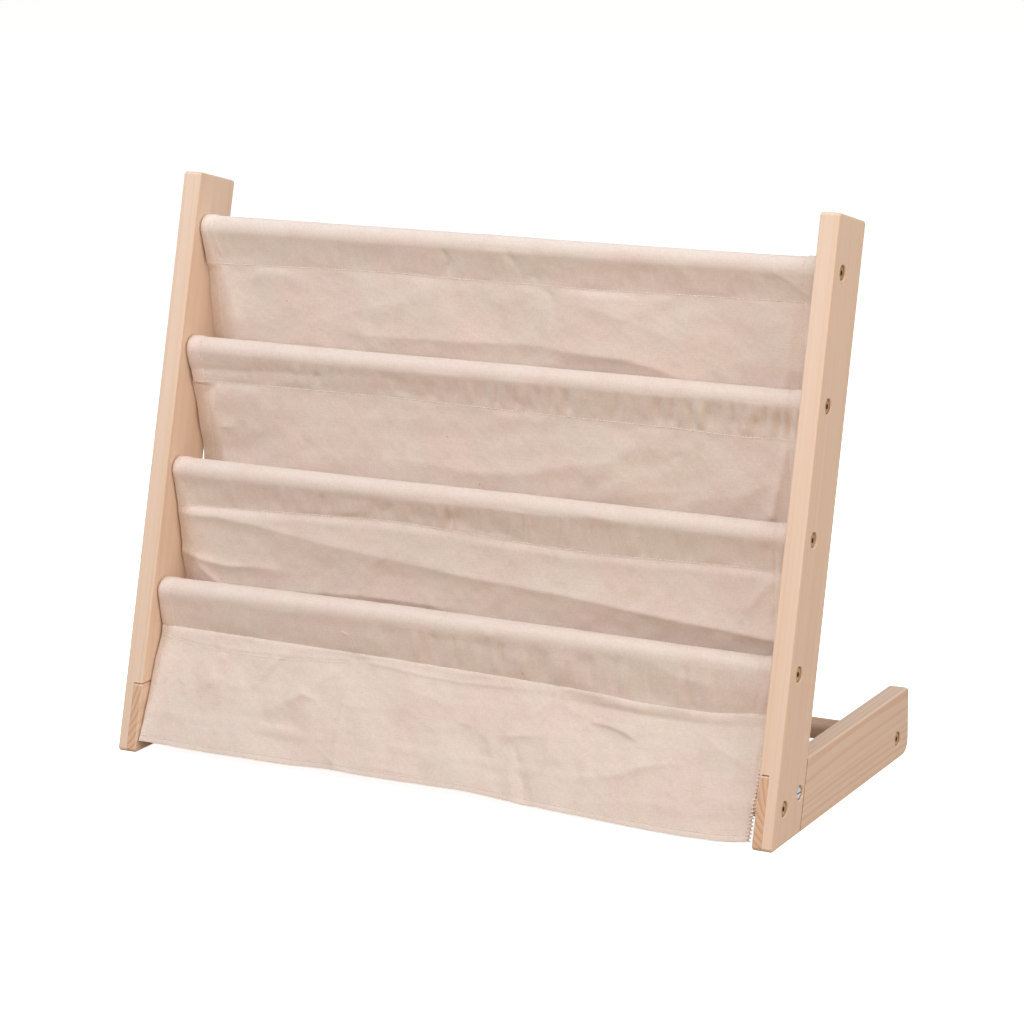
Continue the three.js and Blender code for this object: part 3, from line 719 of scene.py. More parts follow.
def woven_canvas(name):
    """Unbleached cotton canvas, plain woven and washed: matt and a little napped, with some thick threads, faint clouds
    of tone and a few brown neps. Its thread spacing of about 0.5 mm would not show, so it is drawn at 0.9 mm."""
    material, tree, shader = start_material(name, {
        "Roughness": 0.95, "Specular IOR Level": 0.2, "Sheen Weight": 0.15, "Sheen Roughness": 0.6})
    place = add(tree, "UVMap", uv_map="flat cloth").outputs[0]

    def spread(stretch, wave, detail=1.0):
        """Noise of that wavelength on the flat cloth, stretched along and across it."""
        turned_place = add(tree, "Mapping", {"Vector": place, "Scale": stretch})
        return add(tree, "TexNoise", {
            "Vector": turned_place, "Scale": 1 / wave, "Detail": detail}, noise_dimensions="2D")

    def tinted(base, tint, value, low, high, most):
        """base, mixed up to most with the tint as the value goes from low to high."""
        factor = add(tree, "MapRange", {"Value": value, "From Min": low, "From Max": high, "To Max": most})
        return add(tree, "Mix", {"Factor": factor, "A": base, "B": linear(tint)}, data_type="RGBA")

    weft = spread((0.22, 1, 1), THREAD_PITCH)
    warp = spread((1, 0.22, 1), THREAD_PITCH)
    threads = add(tree, "Math", {0: weft, 1: warp}, operation="ADD")
    slubs = spread((0.07, 1, 1), SLUB_WIDTH, 2.0)
    colour = tinted(linear(UNBLEACHED), CANVAS_ROSY, spread((1, 1, 1), CLOUD_WAVE, 2.0), 0.35, 0.65, 1.0)
    colour = tinted(colour, CANVAS_WARM, spread((1, 1, 1), PATCH_WAVE, 3.0), 0.5, 0.85, 0.35)
    colour = tinted(colour, CANVAS_PALE, threads, 0.95, 1.25, 0.25)
    colour = tinted(colour, CANVAS_WARM, threads, 1.05, 0.75, 0.2)
    colour = tinted(colour, CANVAS_WARM, slubs, 0.62, 0.8, 0.3)
    specks = add(tree, "TexVoronoi", {"Vector": place, "Scale": NEPS_PER_METRE}, voronoi_dimensions="2D")
    chosen = add(tree, "Math", {0: specks.outputs["Color"], 1: 0.86}, operation="GREATER_THAN")
    near = add(tree, "MapRange", {
        "Value": specks.outputs["Distance"], "From Min": 0.008, "From Max": 0.028, "To Min": 0.8, "To Max": 0.0})
    nep = add(tree, "Math", {0: near, 1: chosen}, operation="MULTIPLY")
    specked = add(tree, "Mix", {"Factor": nep, "A": colour, "B": linear(CANVAS_NEP)}, data_type="RGBA")
    nap = add(tree, "Math", {0: spread((1, 1, 1), NAP_WAVE, 2.0), 1: 0.8, 2: threads}, operation="MULTIPLY_ADD")
    raised = add(tree, "Math", {0: slubs, 1: nap}, operation="ADD")
    bump = add(tree, "Bump", {"Height": raised, "Strength": 0.15, "Distance": 0.0003})
    fill(tree, shader, {"Base Color": specked, "Normal": bump})
    return material


def cloth_shell(middle, hem, seams):
    """Points and faces of a cloth with two faces and closed edges round its middle surface, and its front points. The
    front stands half the thickness off it, and the back further off where the hem is folded over. At a column where
    the cloth is sewn on, both faces are set off straight along Y, by the sign given, so that the next part meets
    them."""
    rows, columns = middle.shape[:2]
    normal = facing_out(middle)
    for column, sign in seams.items():
        normal[:, column] = (0.0, sign, 0.0)
    front = middle + normal * CLOTH_THICKNESS / 2
    back = middle - normal * (CLOTH_THICKNESS / 2 + HEM_LAYER * hem[..., None])
    total = rows * columns
    number = np.arange(total).reshape(rows, columns)
    rim = np.concatenate([number[:, 0], number[-1, 1:], number[-2::-1, -1], number[0, -2:0:-1]])
    after = np.roll(rim, -1)
    quads = grid_faces(rows, columns)
    faces = np.concatenate([quads, quads[:, ::-1] + total, np.stack([rim, after, after + total, rim + total], -1)])
    return np.concatenate([front.reshape(-1, 3), back.reshape(-1, 3)]), faces, front, normal


canvas = woven_canvas("unbleached cotton canvas, plain woven")
front_of = {}
cloth_of = {}


def add_cloth(name, middle, hem, node, seams):
    """One part of the sling between two seams, as a closed shell that stands for its CAD node. Its edges at the seams
    stay sharp, so that the shading runs on into the next part."""
    points, faces, front, normal = cloth_shell(middle, hem, seams)
    rows, columns = middle.shape[:2]
    along = np.linalg.norm(np.diff(middle, axis=1), axis=2)
    fallen = np.concatenate([np.zeros((rows, 1)), np.cumsum(along, axis=1)], axis=1)
    flat = np.stack([middle[..., 0], fallen], -1) * MM + (0, 0.2 * len(cloth_of))
    made = add_mesh(name, in_part(points), faces, canvas, np.concatenate([flat, flat]))
    ends = np.zeros((len(made.data.edges), 2), int)
    made.data.edges.foreach_get("vertices", ends.ravel())
    at = ends % (rows * columns) % columns
    sharp = (ends[:, 0] % columns == ends[:, 1] % columns) & np.isin(at, (0, columns - 1)).all(1)
    attribute = made.data.attributes.new("sharp_edge", "BOOLEAN", "EDGE")
    attribute.data.foreach_set("value", sharp)
    fixed(made, node)
    front_of[name] = (front, normal)
    cloth_of[name] = made


# Sleeves. The cloth goes up behind each dowel, over it and down in front to the seam, which pulls the two layers
# together. Gathers stand where the thread was drawn tight, and the hems wrap round the dowel's ends.
rows_up = np.linspace(0, 1, 12)
round_dowel = np.linspace(0, 1, 34)[1:-1]
rows_down = 1 - np.concatenate([np.linspace(1, 0.2, 18), [0.15, 0.1, 0.06, 0.03, 0.0]])
# Single folds of each sleeve and, further down, of each wall, as crease() takes them, in units of this height
CREASE_HEIGHT = 1.8
GATHERS = [
    [([(-56, 433, 0), (-46, 422, -0.8), (-44, 417, -0.9), (-48, 404, -0.8)], 2.6, 1.9),
     ([(8, 435, 0), (14, 425, -0.9), (19, 416, -0.4), (21, 412, 0)], 2.6, 1.9),
     ([(28, 413, 0), (36, 406, -0.9), (42, 402, -0.9)], 3, 2),
     ([(236, 431, 0), (248, 428.7, 0.7), (259, 423, 0.8), (272, 413, 0.7)], 7, 5),
     ([(-272, 437, 0.2), (-269, 421, 0.8), (-265, 402, 0.8)], 3, 2)],
    [([(-290, 313, -0.7), (-272, 313.3, -0.8), (-192, 316.6, -0.8), (-130, 317, 0)], 8, 9),
     ([(-158, 322, 0), (-156, 316, -0.6), (-154, 308, 0)], 2.5, 2.5),
     *[([(at, 326, 0), (at + 1.5, 312, -high), (at + 2, 303, -high)], 3, 2.6) for at, high in
       ((186, 0.5), (201, 0.9), (222, 1.0), (240, 1.5), (260, 0.9), (270, 0.9), (150, 0.3), (121, 0.3), (30, 0.3),
        (-40, 0.3), (-90, 0.3))]],
    [([(at, 226, 0), (at + 1, 216, -high), (at + 2, 207, -high * 0.7)], 3, 3) for at, high in
     ((-72, 0.8), (-53, 0.4), (-18, 0.8), (-11, 0.8), (60, 0.3), (175, 0.4), (262, 0.5))] + [
         ([(98, 231.5, 0), (112, 231, 0.5), (136, 230, 0.5), (150, 229, 0)], 4, 2)],
    [([(at, 134, 0), (at + lean, 122, -high), (at + lean, 101, -high)], 5, 4) for at, lean, high in
     ((-60, 3, 0.8), (-42, -2, 0.6), (-20, 2, 0.8), (4, -2, 0.9), (22, 2, 1.0), (50, -4, 1.0), (75, 3, 0.7),
      (120, 3, 0.5), (150, -4, 0.8), (205, 4, 0.6), (240, -3, 0.6))] + [
          ([(38, 138, 0), (34, 131, 0.9), (30, 123, 0)], 3, 3), ([(94, 112, 0), (95, 98, 0.9), (95, 88, 0.9)], 3, 3),
          ([(-94, 108, 0), (-93, 98, 0.6), (-93, 92, 0.6)], 3, 3),
          ([(160, 136, 0), (200, 118, 1.0), (250, 112, 0)], 12, 9)],
]
# How high the thread's fine gathers stand in each sleeve, [x, height]
GATHER_HEIGHT = [[(-282, 0.2), (282, 0.28)], [(-282, 0.15), (-60, 0.42), (282, 0.75)],
                 [(-282, 0.4), (0, 0.55), (282, 0.35)], [(-282, 0.1), (-90, 0.2), (-40, 0.4), (230, 0.35), (282, 0.2)]]


def sleeve_middle(number):
    """The middle surface of a sleeve: from the rear foot straight to the dowel's tangent, round it with the slack
    raised over its top as a half cosine, and down to the front foot with a bulge of a half sine on the way."""
    x = station
    drop = eased(SEAM_DROPS[number - 1], x)[:, None]
    slack = eased(SLEEVE_SLACK[number - 1], x)[:, None]
    radius = SLEEVE_RADIUS
    rear_foot = LAYER_SHIFT - eased(SEAM_FORWARD[number - 1], x)[:, None]
    front_foot = rear_foot - 2 * LAYER_SHIFT
    rear_turn = np.arctan2(-drop, rear_foot) + np.arccos(radius / np.hypot(rear_foot, drop))
    front_turn = np.arctan2(-drop, front_foot) - np.arccos(radius / np.hypot(front_foot, drop)) + 2 * math.pi
    angle = rear_turn + (front_turn - rear_turn) * round_dowel
    far = radius + slack * np.clip(np.cos(angle - SLACK_TOP), 0, 1) ** 1.3
    if number == LOWEST:
        far = far + FRONT_FULLNESS * np.exp(-((angle - FULLEST) / FULLEST_SPREAD) ** 2)
    arc = np.stack([far * np.cos(angle), far * np.sin(angle)], -1)
    ends = [np.stack([radius * np.cos(turn), radius * np.sin(turn)], -1) for turn in (rear_turn, front_turn)]
    feet = [np.concatenate([foot, -drop], 1)[:, None] for foot in (rear_foot, front_foot)]
    rear = feet[0] + (ends[0] - feet[0]) * rows_up[:, None]
    front = ends[1] + (feet[1] - ends[1]) * rows_down[:, None]
    front[..., 0] -= eased(SLEEVE_BULGE[number - 1], x, 14)[:, None] * np.sin(math.pi * rows_down)
    section = np.concatenate([rear, arc, front], 1)
    if number == LOWEST:
        first, last = FIRST_SMOOTHED, LAST_SMOOTHED
        for _ in range(FRONT_SMOOTHING):
            section[:, first:last] = (
                section[:, first - 1:last - 1] + 2 * section[:, first:last] + section[:, first + 1:last + 1]) / 4
    place = np.array(dowel_places[number - 1])
    middle = np.concatenate([np.broadcast_to(x[:, None, None], (*section.shape[:2], 1)), section + place], 2)
    from_seam = UP_TO_DOWEL * np.concatenate([rows_up, np.ones(len(round_dowel)), 1 - rows_down])
    x, z = middle[..., 0], middle[..., 2]
    in_front = smooth_step((place[0] + 1 - middle[..., 1]) / 6)
    tight = np.where(z > place[1], 0.35, 1.0)
    push = 0.22 * rumple(x, from_seam, 46, 40 + number, 1.2) * tight * smooth_step(from_seam / 6)
    push += 0.07 * rumple(x, from_seam, 13, 50 + number) * tight * smooth_step(from_seam / 3)
    height = eased(GATHER_HEIGHT[number - 1], x, 12) * smooth_step((place[1] + 2 - z) / 16)
    push += height * rumple(from_seam, x, 7.5, 60 + number, 9.0) * (0.1 + 0.9 * smooth_step(from_seam / 9))
    push += CREASE_HEIGHT * in_front * creased(x, z, GATHERS[number - 1]) * (0.3 + 0.7 * smooth_step(from_seam / 11))
    push = np.where(push < 0, push * (0.35 + 0.65 * smooth_step((place[1] - z) / 9)), push)
    push += hem_relief(CLOTH_HALF_WIDTH - np.abs(x))
    if number == LOWEST:
        patchy = eased([(-120, 0), (-50, 0.4), (230, 0.4), (262, 0)], x, 14)
        push += patchy * np.sin(math.pi * np.clip(from_seam / 24, 0, 1)) * rumple(from_seam, x, 16, 66, 3.0)
    middle = middle + facing_out(middle) * push[..., None]
    middle[..., 1] -= eased(SEAM_FOLD[number - 1], x) * np.exp(-from_seam / FOLD_REACH)
    middle[..., 0] += drawn_in(number, from_seam, 13)
    if number == LOWEST:
        middle[..., 0] -= RAW_EDGE_DRAWN_IN * np.exp(-(from_seam / 9) ** 2) * at_right
    return middle


side_hem = (CLOTH_HALF_WIDTH - np.abs(station) < HEM_WIDTH).astype(float)[:, None]
for number in range(1, 5):
    middle = sleeve_middle(number)
    add_cloth(f"canvas_sleeve_{number}", middle, side_hem * 0.5 * np.ones(middle.shape[1]), f"sleeve_{number}",
              {0: 1.0, -1: -1.0})


# Pockets. The layer in view hangs from each front seam behind the next sleeve, turns up in a U and becomes the
# pocket's own front wall, which ends at the next seam. The wall keeps the creases of its packet.
FRONT_WALL_DEPTH = 34.0
BACK_WALL_SET_BACK = 5.0
FRONT_WALL_SET_BACK = 7.0
WALL_CREASES = [
    [([(-160, 349, 0), (-110, 349.5, 1.3), (-18, 351.5, 1.7), (36, 353.5, 1.2), (52, 351, 1.6), (97, 349.4, 2.8),
       (114, 349, 3.0), (141, 343.6, 2.6), (167, 336, 1.6), (200, 332, 0)], 34, 11),
     ([(48, 395, 0), (59, 391, 0.5), (92, 386, 0.9), (128, 377, 0.8), (193, 357, 0)], 14, 12, 1.5),
     ([(-210, 349, 0), (-150, 364, 0.6), (-102, 377, 0.7), (-50, 387, 0)], 14, 12, 2.0),
     ([(33, 410, -0.6), (41, 402, -1.0), (49, 394, -0.8), (52, 376, 0)], 3.5, 3),
     ([(-47, 403, -0.6), (-50, 392, 0)], 4, 3),
     ([(-266, 401, 0.9), (-261, 377, 1.0), (-254, 356, 1.0), (-254, 330, 1.0)], 7, 2.5, 0.4),
     ([(264, 406, 0.5), (258, 371, 0.8), (253, 330, 0.9)], 2.5, 9)],
    [([(-125, 252, 0), (-59, 252, 0.6), (-5, 248, 0.9), (42, 252.5, 1.0), (69, 261, 1.0), (114, 269, 0.9),
       (145, 292, 0.5), (153, 303, 0)], 12, 8, 2.0),
     ([(166, 273, 0), (173, 278, -0.5), (180, 283, 0)], 3, 3),
     ([(97, 235, 0), (119, 250, 0.8), (141, 266, 0)], 10, 8, 1.6),
     ([(125, 244, 0), (160, 248, 0.5), (225, 256.5, 0)], 8, 6),
     ([(262, 272, 0), (250, 262, 0.7), (225, 252, 1.0), (190, 244, 0.5), (160, 240, 0)], 11, 16, 2.0),
     ([(267, 294, 0.8), (266, 287, 1.2), (260, 260, 1.5), (255, 238, 1.5)], 3, 5),
     ([(-257, 301, 1.0), (-263, 278, 1.0), (-262, 258, 0.9), (-259, 230, 0.9)], 6, 2.5, 0.4),
     ([(-262, 264, 0.0), (-256, 264, 0.6), (-240, 264.5, 0)], 4, 2)],
    [([(-300, 194, 2.4), (-274, 193.8, 2.4), (-241, 193.4, 2.6), (-205, 191, 2.6), (-153, 183, 2.0), (-105, 178, 1.5),
       (-81, 176, 1.6), (-4, 168.3, 2.6), (90, 163, 3.2), (169, 155.7, 3.7), (218, 152.6, 3.9), (267, 148.7, 4.0),
       (300, 148, 4.0)], 26, 13, 0.5),
     ([(-74, 196, 0.4), (-83, 178, 0.9), (-92, 160, 0)], 5, 4),
     ([(-300, 158, 1.2), (-275, 157.5, 1.2), (-262, 154.4, 1.5), (-233, 151.5, 1.4), (-205, 152.8, 0.9),
       (-170, 153, 0)], 5, 6, 0.5),
     ([(-272, 154, 0), (-257, 143.5, 0.9), (-244, 134, 0.9)], 4, 4),
     ([(-190, 133, 0), (-162, 136, 0.5), (-103, 139.5, 0.9), (-41, 139, 0.9), (-15, 136, 0)], 8, 2.5, 0.4),
     ([(270, 200, 0), (265, 192, 0.9), (254, 177, 1.1), (244, 163, 0)], 5, 5),
     ([(-262, 190, 0.2), (-259, 178, 0.5), (-258, 166, 0.2)], 3, 3)],
]
# Each wall's left hem turns back beyond a line, [height, x], by HEM_TURN of the distance
HEM_LINES = [[(330, -254), (356, -255), (377, -261), (401, -266)], [(230, -259), (258, -262), (278, -263), (301, -257)],
             [(130, -262), (166, -262), (190, -266)]]
HEM_TURN = 0.22
# How far the left end of each wall has drifted back, [height, distance], and in
LEFT_DRIFT_BACK = [
    [(330, 2.0), (380, 0.8), (394, 0.0)],
    [(190, 0.0), (220, 6.0), (243, 9.6), (256, 7.0), (271, 4.2), (290, 0.6), (302, 0.0)],
    [(130, 1.0), (168, 0.5), (200, 0.0)],
]
LEFT_DRIFT_IN = [
    [(330, 0.6), (400, 0.2)],
    [(190, 0.0), (236, 1.2), (262, 0.8), (300, 0.0)],
    [(130, 0.8), (168, 0.4), (200, 0.0)],
]
wall_rows = np.concatenate([[0, 0.6, 1.2, 2, 3, 4.5], np.linspace(6, 100, 98)]) / 100


def pocket_feet(number):
    """Where the pocket's straight walls end: the rear and front y and the height, each per station."""
    rear_dowel, front_dowel = dowel_places[number - 1], dowel_places[number]
    x = station
    height = front_dowel[1] - 28.0 - FRONT_WALL_DEPTH + 0.8 * rumple(x, 0 * x, 150, 70 + number, waves=8)
    rear = rear_dowel[0] + BACK_WALL_SET_BACK + 0.9 * rumple(x, 0 * x, 110, 80 + number, waves=8)
    front = front_dowel[0] + FRONT_WALL_SET_BACK + 0.7 * rumple(x, 0 * x, 120, 90 + number, waves=8)
    return rear, front, height


def hanging(top, bottom, bend):
    """A middle surface from the top line to the bottom line, both [x, y, z] per station: y goes over to the bottom's
    as the share fallen to the power bend."""
    middle = top[:, None] + (bottom - top)[:, None] * wall_rows[:, None]
    middle[..., 1] = top[:, 1:2] + (bottom - top)[:, 1:2] * wall_rows ** bend
    return middle


for number in range(1, 4):
    rear, front, height = pocket_feet(number)
    (rear_y, rear_z), (front_y, front_z) = dowel_places[number - 1], dowel_places[number]
    seam_z = rear_z - eased(SEAM_DROPS[number - 1], station)
    top = np.stack([station, rear_y - eased(SEAM_FORWARD[number - 1], station) - LAYER_SHIFT, seam_z], -1)
    middle = hanging(top, np.stack([station, rear, height], -1), 2.0)
    x, z = middle[..., 0], middle[..., 2]
    fallen = seam_z[:, None] - z
    free = smooth_step(fallen / 7) * smooth_step((z - height[:, None]) / 22)
    push = 0.55 * rumple(x, z, 62, 10 + number, 1.5) + 0.18 * rumple(x, z, 21, 20 + number, 1.3)
    push += 0.05 * rumple(x, z, 8, 30 + number)
    push += CREASE_HEIGHT * creased(x, z, WALL_CREASES[number - 1])
    push -= HEM_TURN * np.logaddexp(0, np.interp(z, *np.transpose(HEM_LINES[number - 1])) - x)
    push *= free
    push += gathered_below(number, fallen, x)
    push += hem_relief(CLOTH_HALF_WIDTH - np.abs(x))
    middle = middle + facing_out(middle) * push[..., None]
    middle[..., 1] -= eased(SEAM_FOLD[number - 1], x) * np.exp(-fallen / FOLD_REACH)
    at_left = smooth_step(-(station + 170) / 100)[:, None]
    middle[..., 1] += eased(LEFT_DRIFT_BACK[number - 1], z, 5) * at_left
    middle[..., 0] += eased(LEFT_DRIFT_IN[number - 1], z, 5) * at_left
    middle[..., 0] += drawn_in(number, fallen, 16)
    add_cloth(f"canvas_wall_{number}", middle, side_hem * np.ones(middle.shape[1]), f"pocket_{number}_back", {0: -1.0})

    # The pocket's bottom is half a circle from the wall in view to the inner wall
    turn = np.linspace(0, math.pi, 22)
    half, mid_y = (rear - front) / 2, (rear + front) / 2
    bottom = np.stack([
        np.broadcast_to(station[:, None], (len(station), len(turn))), mid_y[:, None] + half[:, None] * np.cos(turn),
        height[:, None] - half[:, None] * np.sin(turn)], -1)
    bottom += facing_out(bottom) * (
        0.35 * rumple(station[:, None], 12 * turn, 40, 100 + number) * np.sin(turn))[..., None]
    add_cloth(f"canvas_fold_{number}", bottom, side_hem * np.ones(len(turn)), f"pocket_{number}_bottom", {})

    # The inner wall goes up from there to the next seam, behind the next sleeve
    seam_z = front_z - eased(SEAM_DROPS[number], station)
    seam_y = front_y - eased(SEAM_FORWARD[number], station) + LAYER_SHIFT
    seam = np.stack([station, seam_y, seam_z], -1)
    fallen = np.linspace(1, 0, 20)
    inner = seam[:, None] + (np.stack([station, front, height], -1) - seam)[:, None] * fallen[:, None]
    inner[..., 1] = seam[:, 1:2] + (front[:, None] - seam[:, 1:2]) * smooth_step(fallen * 0.8 + 0.1)
    inner[:, 0, 1], inner[:, -1, 1] = front, seam[:, 1]
    inner += facing_out(inner) * (
        0.3 * rumple(inner[..., 0], inner[..., 2], 40, 110 + number) * np.sin(math.pi * fallen))[..., None]
    inner[..., 1] -= eased(SEAM_FOLD[number], inner[..., 0]) * np.exp(-(seam_z[:, None] - inner[..., 2]) / FOLD_REACH)
    if number + 1 == LOWEST:
        inner[..., 0] -= RAW_EDGE_DRAWN_IN * np.exp(-((seam_z[:, None] - inner[..., 2]) / 9) ** 2) * at_right
    add_cloth(f"canvas_inner_{number}", inner, side_hem * np.ones(len(fallen)), f"pocket_{number}_front", {-1: 1.0})


# Apron. The cloth's front end hangs free from the lowest seam over the front of the bottom dowel almost to the floor.
# Its left side and bottom are turned hems, its right side is a raw edge sewn over, and it keeps its packet's creases.
APRON_LEFT, APRON_RIGHT = -282.0, 278.5
EDGE_HEM = 4.0
APRON_CREASE_HEIGHT = 3.4
APRON_CREASES = [
    ([(-274, 95, 0), (-258, 92.5, 0.12), (-243, 90.8, 0.16), (-217, 89.3, 0.16), (-152, 90.2, 0.16), (-99, 93.6, 0.12),
      (-90, 95, 0)], 2.5, 1.2, 0.3),
    ([(-92, 94.5, 0), (-74, 93.2, 0.22), (-30, 89.2, 0.26), (7, 87.7, 0.26), (44, 88.7, 0.22), (76, 89.6, 0.12),
      (92, 90, 0)], 2.5, 1.5, 0.4),
    ([(-152, 94, 0), (-159, 87.6, 0.45), (-169, 77.3, 0.7), (-177, 66.3, 0.25), (-184, 60, 0)], 1.5, 10, 0.3),
    ([(-214, 69, 0), (-222, 62, 0.5), (-236, 52, 0)], 3, 8),
    ([(-98, 90, 0), (-118, 76, 0.35), (-134, 63, 0.5), (-160, 48, 0.35), (-190, 40, 0)], 7, 9),
    ([(-147, 52, 0), (-140, 59, 0.4), (-134, 62.8, 0.7), (-126, 61, 0.5), (-116, 59, 0)], 3, 5, 0.3),
    ([(-105, 62, 0), (-85, 59, 0.4), (-60, 60, 0)], 12, 8, 1.0),
    ([(-94, 92, 0.25), (-94, 70, 0.12), (-95, 52, 0.3), (-94, 34, 0.25), (-92, 10, 0.2)], 2.5, 2.5),
    ([(-104, 22, 0), (-96, 17, 0.35), (-86, 11, 0.25)], 4, 5), ([(-97, 20, 0), (-39, 16, 0.4), (17, 12, 0)], 12, 6),
    ([(126, 73.8, 0), (131, 72.4, 0.35), (148, 70.8, 0.6), (161, 67.8, 0.6), (177, 61, 0)], 9, 1.2, 0.25),
    ([(125, 31, 0), (135, 32.6, 0.4), (167, 38.7, 0.8), (178, 45, 0.9), (203, 51, 0.5), (225, 52, 0)], 12, 5, 0.7),
    ([(66, 51, 0), (69, 43, -0.3), (76, 28, -0.45), (84, 9, -0.5), (86, 2, -0.5)], 2.2, 2.4, 0.8),
    ([(73, 38, 0), (80, 27, -0.25), (89, 9, -0.35), (92, 2, -0.35)], 2.4, 2.0, 0.8),
    ([(58, 46, 0), (68, 24, 0.3), (76, 4, 0.3)], 4, 6),
    ([(50, 52, 0), (62, 53.5, 0.45), (74, 55.5, 0.5), (96, 58.5, 0)], 6, 4, 0.5),
    ([(30, 60, 0), (44, 47, 0.4), (52, 34, 0.3), (56, 24, 0)], 8, 4, 0.7),
    ([(95, 92, 0.4), (96, 76, 0.2), (97, 50, 0.2), (97, 28, 0)], 2.5, 2.5),
    ([(96, 86, 0), (112, 78, 0.3), (128, 73, 0)], 4, 2.5), ([(100, 88, 0), (84, 76, 0.35), (66, 66, 0)], 8, 4),
    ([(-218, 88, 0), (-216, 82, 0.25), (-214, 77, 0)], 1.5, 5),
    ([(-60, 80, 0), (-20, 74, 0.35), (20, 66, 0)], 10, 6, 0.8), ([(4, 62, 0), (18, 58, 0.35), (34, 57, 0)], 8, 3, 0.5),
    ([(222, 78, 0), (240, 66, 0.35), (270, 58, 0.3)], 8, 5),
    ([(150, 16, 0), (190, 22, 0.35), (250, 18, 0)], 12, 8, 1.0),
    ([(-262, 70, 0), (-250, 58, 0.3), (-240, 40, 0)], 6, 4),
]
HEM_HEIGHTS = [(-282, 9.3), (-270, 9.4), (-216, 8.2), (-138, 8.6), (-100, 10.0), (-66, 9.1), (29, 9.7), (85, 6.7),
               (145, 4.3), (211, 2.4), (254, 2.6), (280, 5.6)]
x = (share + 1) / 2 * (APRON_RIGHT - APRON_LEFT) + APRON_LEFT
(dowel_y, dowel_z), (bottom_y, bottom_z) = dowel_places[LOWEST - 1:]
seam_z = dowel_z - eased(SEAM_DROPS[LOWEST - 1], station)
seam_y = dowel_y - eased(SEAM_FORWARD[LOWEST - 1], station) - LAYER_SHIFT
reach = np.hypot(seam_y - bottom_y, seam_z - bottom_z)
slope = np.arctan2(seam_y - bottom_y, seam_z - bottom_z) + np.arcsin((SLEEVE_RADIUS + 0.15) / reach)
hem_z = eased(HEM_HEIGHTS, x, 6)
top = np.stack([station, seam_y, seam_z], -1)
middle = hanging(top, np.stack([x, seam_y - (seam_z - hem_z) * np.tan(slope), hem_z], -1), 1.0)
x, z = middle[..., 0], middle[..., 2]
fallen, left_over = seam_z[:, None] - z, z - hem_z[:, None]
push = 0.6 * rumple(x, z, 58, 5, 1.2) + 0.2 * rumple(x, z, 22, 6) + 0.07 * rumple(x, z, 9, 7)
push += APRON_CREASE_HEIGHT * creased(x, z, APRON_CREASES)
# The apron lies on the bottom dowel, so no crease goes further in than the dowel's round front lets it
resting = -0.15 - (z - bottom_z - 4) ** 2 / 22
push = (resting + 0.5 * np.logaddexp(0, (push + 0.2 - resting) / 0.5)) * smooth_step(fallen / 5)
push += 0.5 * np.exp(-((fallen - 1.9) / 1.7) ** 2)
push += gathered_below(LOWEST, fallen, x)
for from_edge in (x - APRON_LEFT, left_over):
    push += 0.3 * smooth_step((EDGE_HEM - from_edge) / 1.5) - 0.2 * np.exp(-((from_edge - EDGE_HEM) / 1.0) ** 2)
middle = middle + facing_out(middle) * push[..., None]
middle[..., 1] -= eased(SEAM_FOLD[LOWEST - 1], x) * (1 - smooth_step((fallen - 3.5) / 7))
middle[..., 0] += drawn_in(LOWEST, fallen, 16)
# The raw edge curls back near the floor
curl = smooth_step((x - APRON_RIGHT + 5) / 5) * smooth_step((76 - z) / 14)
middle[..., 1] += 1.2 * curl * smooth_step((x - APRON_RIGHT + 5) / 5)
middle[..., 0] -= (0.5 + (RAW_EDGE_DRAWN_IN - 0.5) * left_over / (fallen + left_over)) * at_right
apron_hem = np.maximum(x - APRON_LEFT < EDGE_HEM, left_over < EDGE_HEM).astype(float)
add_cloth("canvas_apron", middle, apron_hem, "apron", {0: -1.0})


# Sewing. Undyed cotton thread: a straight row of lock stitches along each seam and hem, a zigzag over the apron's raw
# edge, and a loose end at the lowest seam. Each stitch is a short rounded rod that sinks into the cloth at both ends.
THREAD_RADIUS = 0.38
HEM_THREAD = 0.26
STITCH_LENGTH = 2.3
STITCH_PITCH = 3.2
STITCH_RISE = [-0.15, 0.15, 0.22, 0.15, -0.15]
STITCH_TAPER = [0.6, 1, 1.05, 1, 0.6]
OVERLOCK_PITCH = 3.0
OVERLOCK_RADIUS = 0.45
TAIL_RADIUS, TAIL_LIFT = 0.34, 0.8
THREAD_COLOUR = "#FBF6F0"
STRANDS_PER_METRE = 900.0
cotton, tree, shader = start_material("undyed cotton sewing thread, twisted", {"Roughness": 0.8, "Sheen Weight": 0.2})
strands = add(tree, "TexNoise", {"Vector": add(tree, "TexCoord").outputs["Object"], "Scale": STRANDS_PER_METRE})
toned = add(tree, "Mix", {"Factor": strands, "A": linear(CANVAS_WARM), "B": linear(THREAD_COLOUR)}, data_type="RGBA")
fill(tree, shader, {"Base Color": toned})


def tube(path, radius, sides=6):
    """Points and faces of a closed tube along a path, with a radius per path point. Each ring stands across the path's
    direction, turned from a fixed side vector."""
    path = np.asarray(path, float)
    ahead = np.gradient(path, axis=0)
    ahead /= np.linalg.norm(ahead, axis=1, keepdims=True)
    beside = np.cross(ahead, (0.13, 0.31, 0.94))
    beside /= np.linalg.norm(beside, axis=1, keepdims=True)
    over = np.cross(beside, ahead)
    angle = np.linspace(0, 2 * math.pi, sides, endpoint=False)
    radius = np.broadcast_to(radius, len(path))[:, None, None]
    rings = path[:, None] + radius * (beside[:, None] * np.cos(angle)[:, None] + over[:, None] * np.sin(angle)[:, None])
    count = len(path) * sides
    faces = [tuple(face) for face in grid_faces(len(path), sides, closed=True)]
    faces += [tuple(range(sides))[::-1], tuple(range(count - sides, count))]
    return rings.reshape(-1, 3), faces


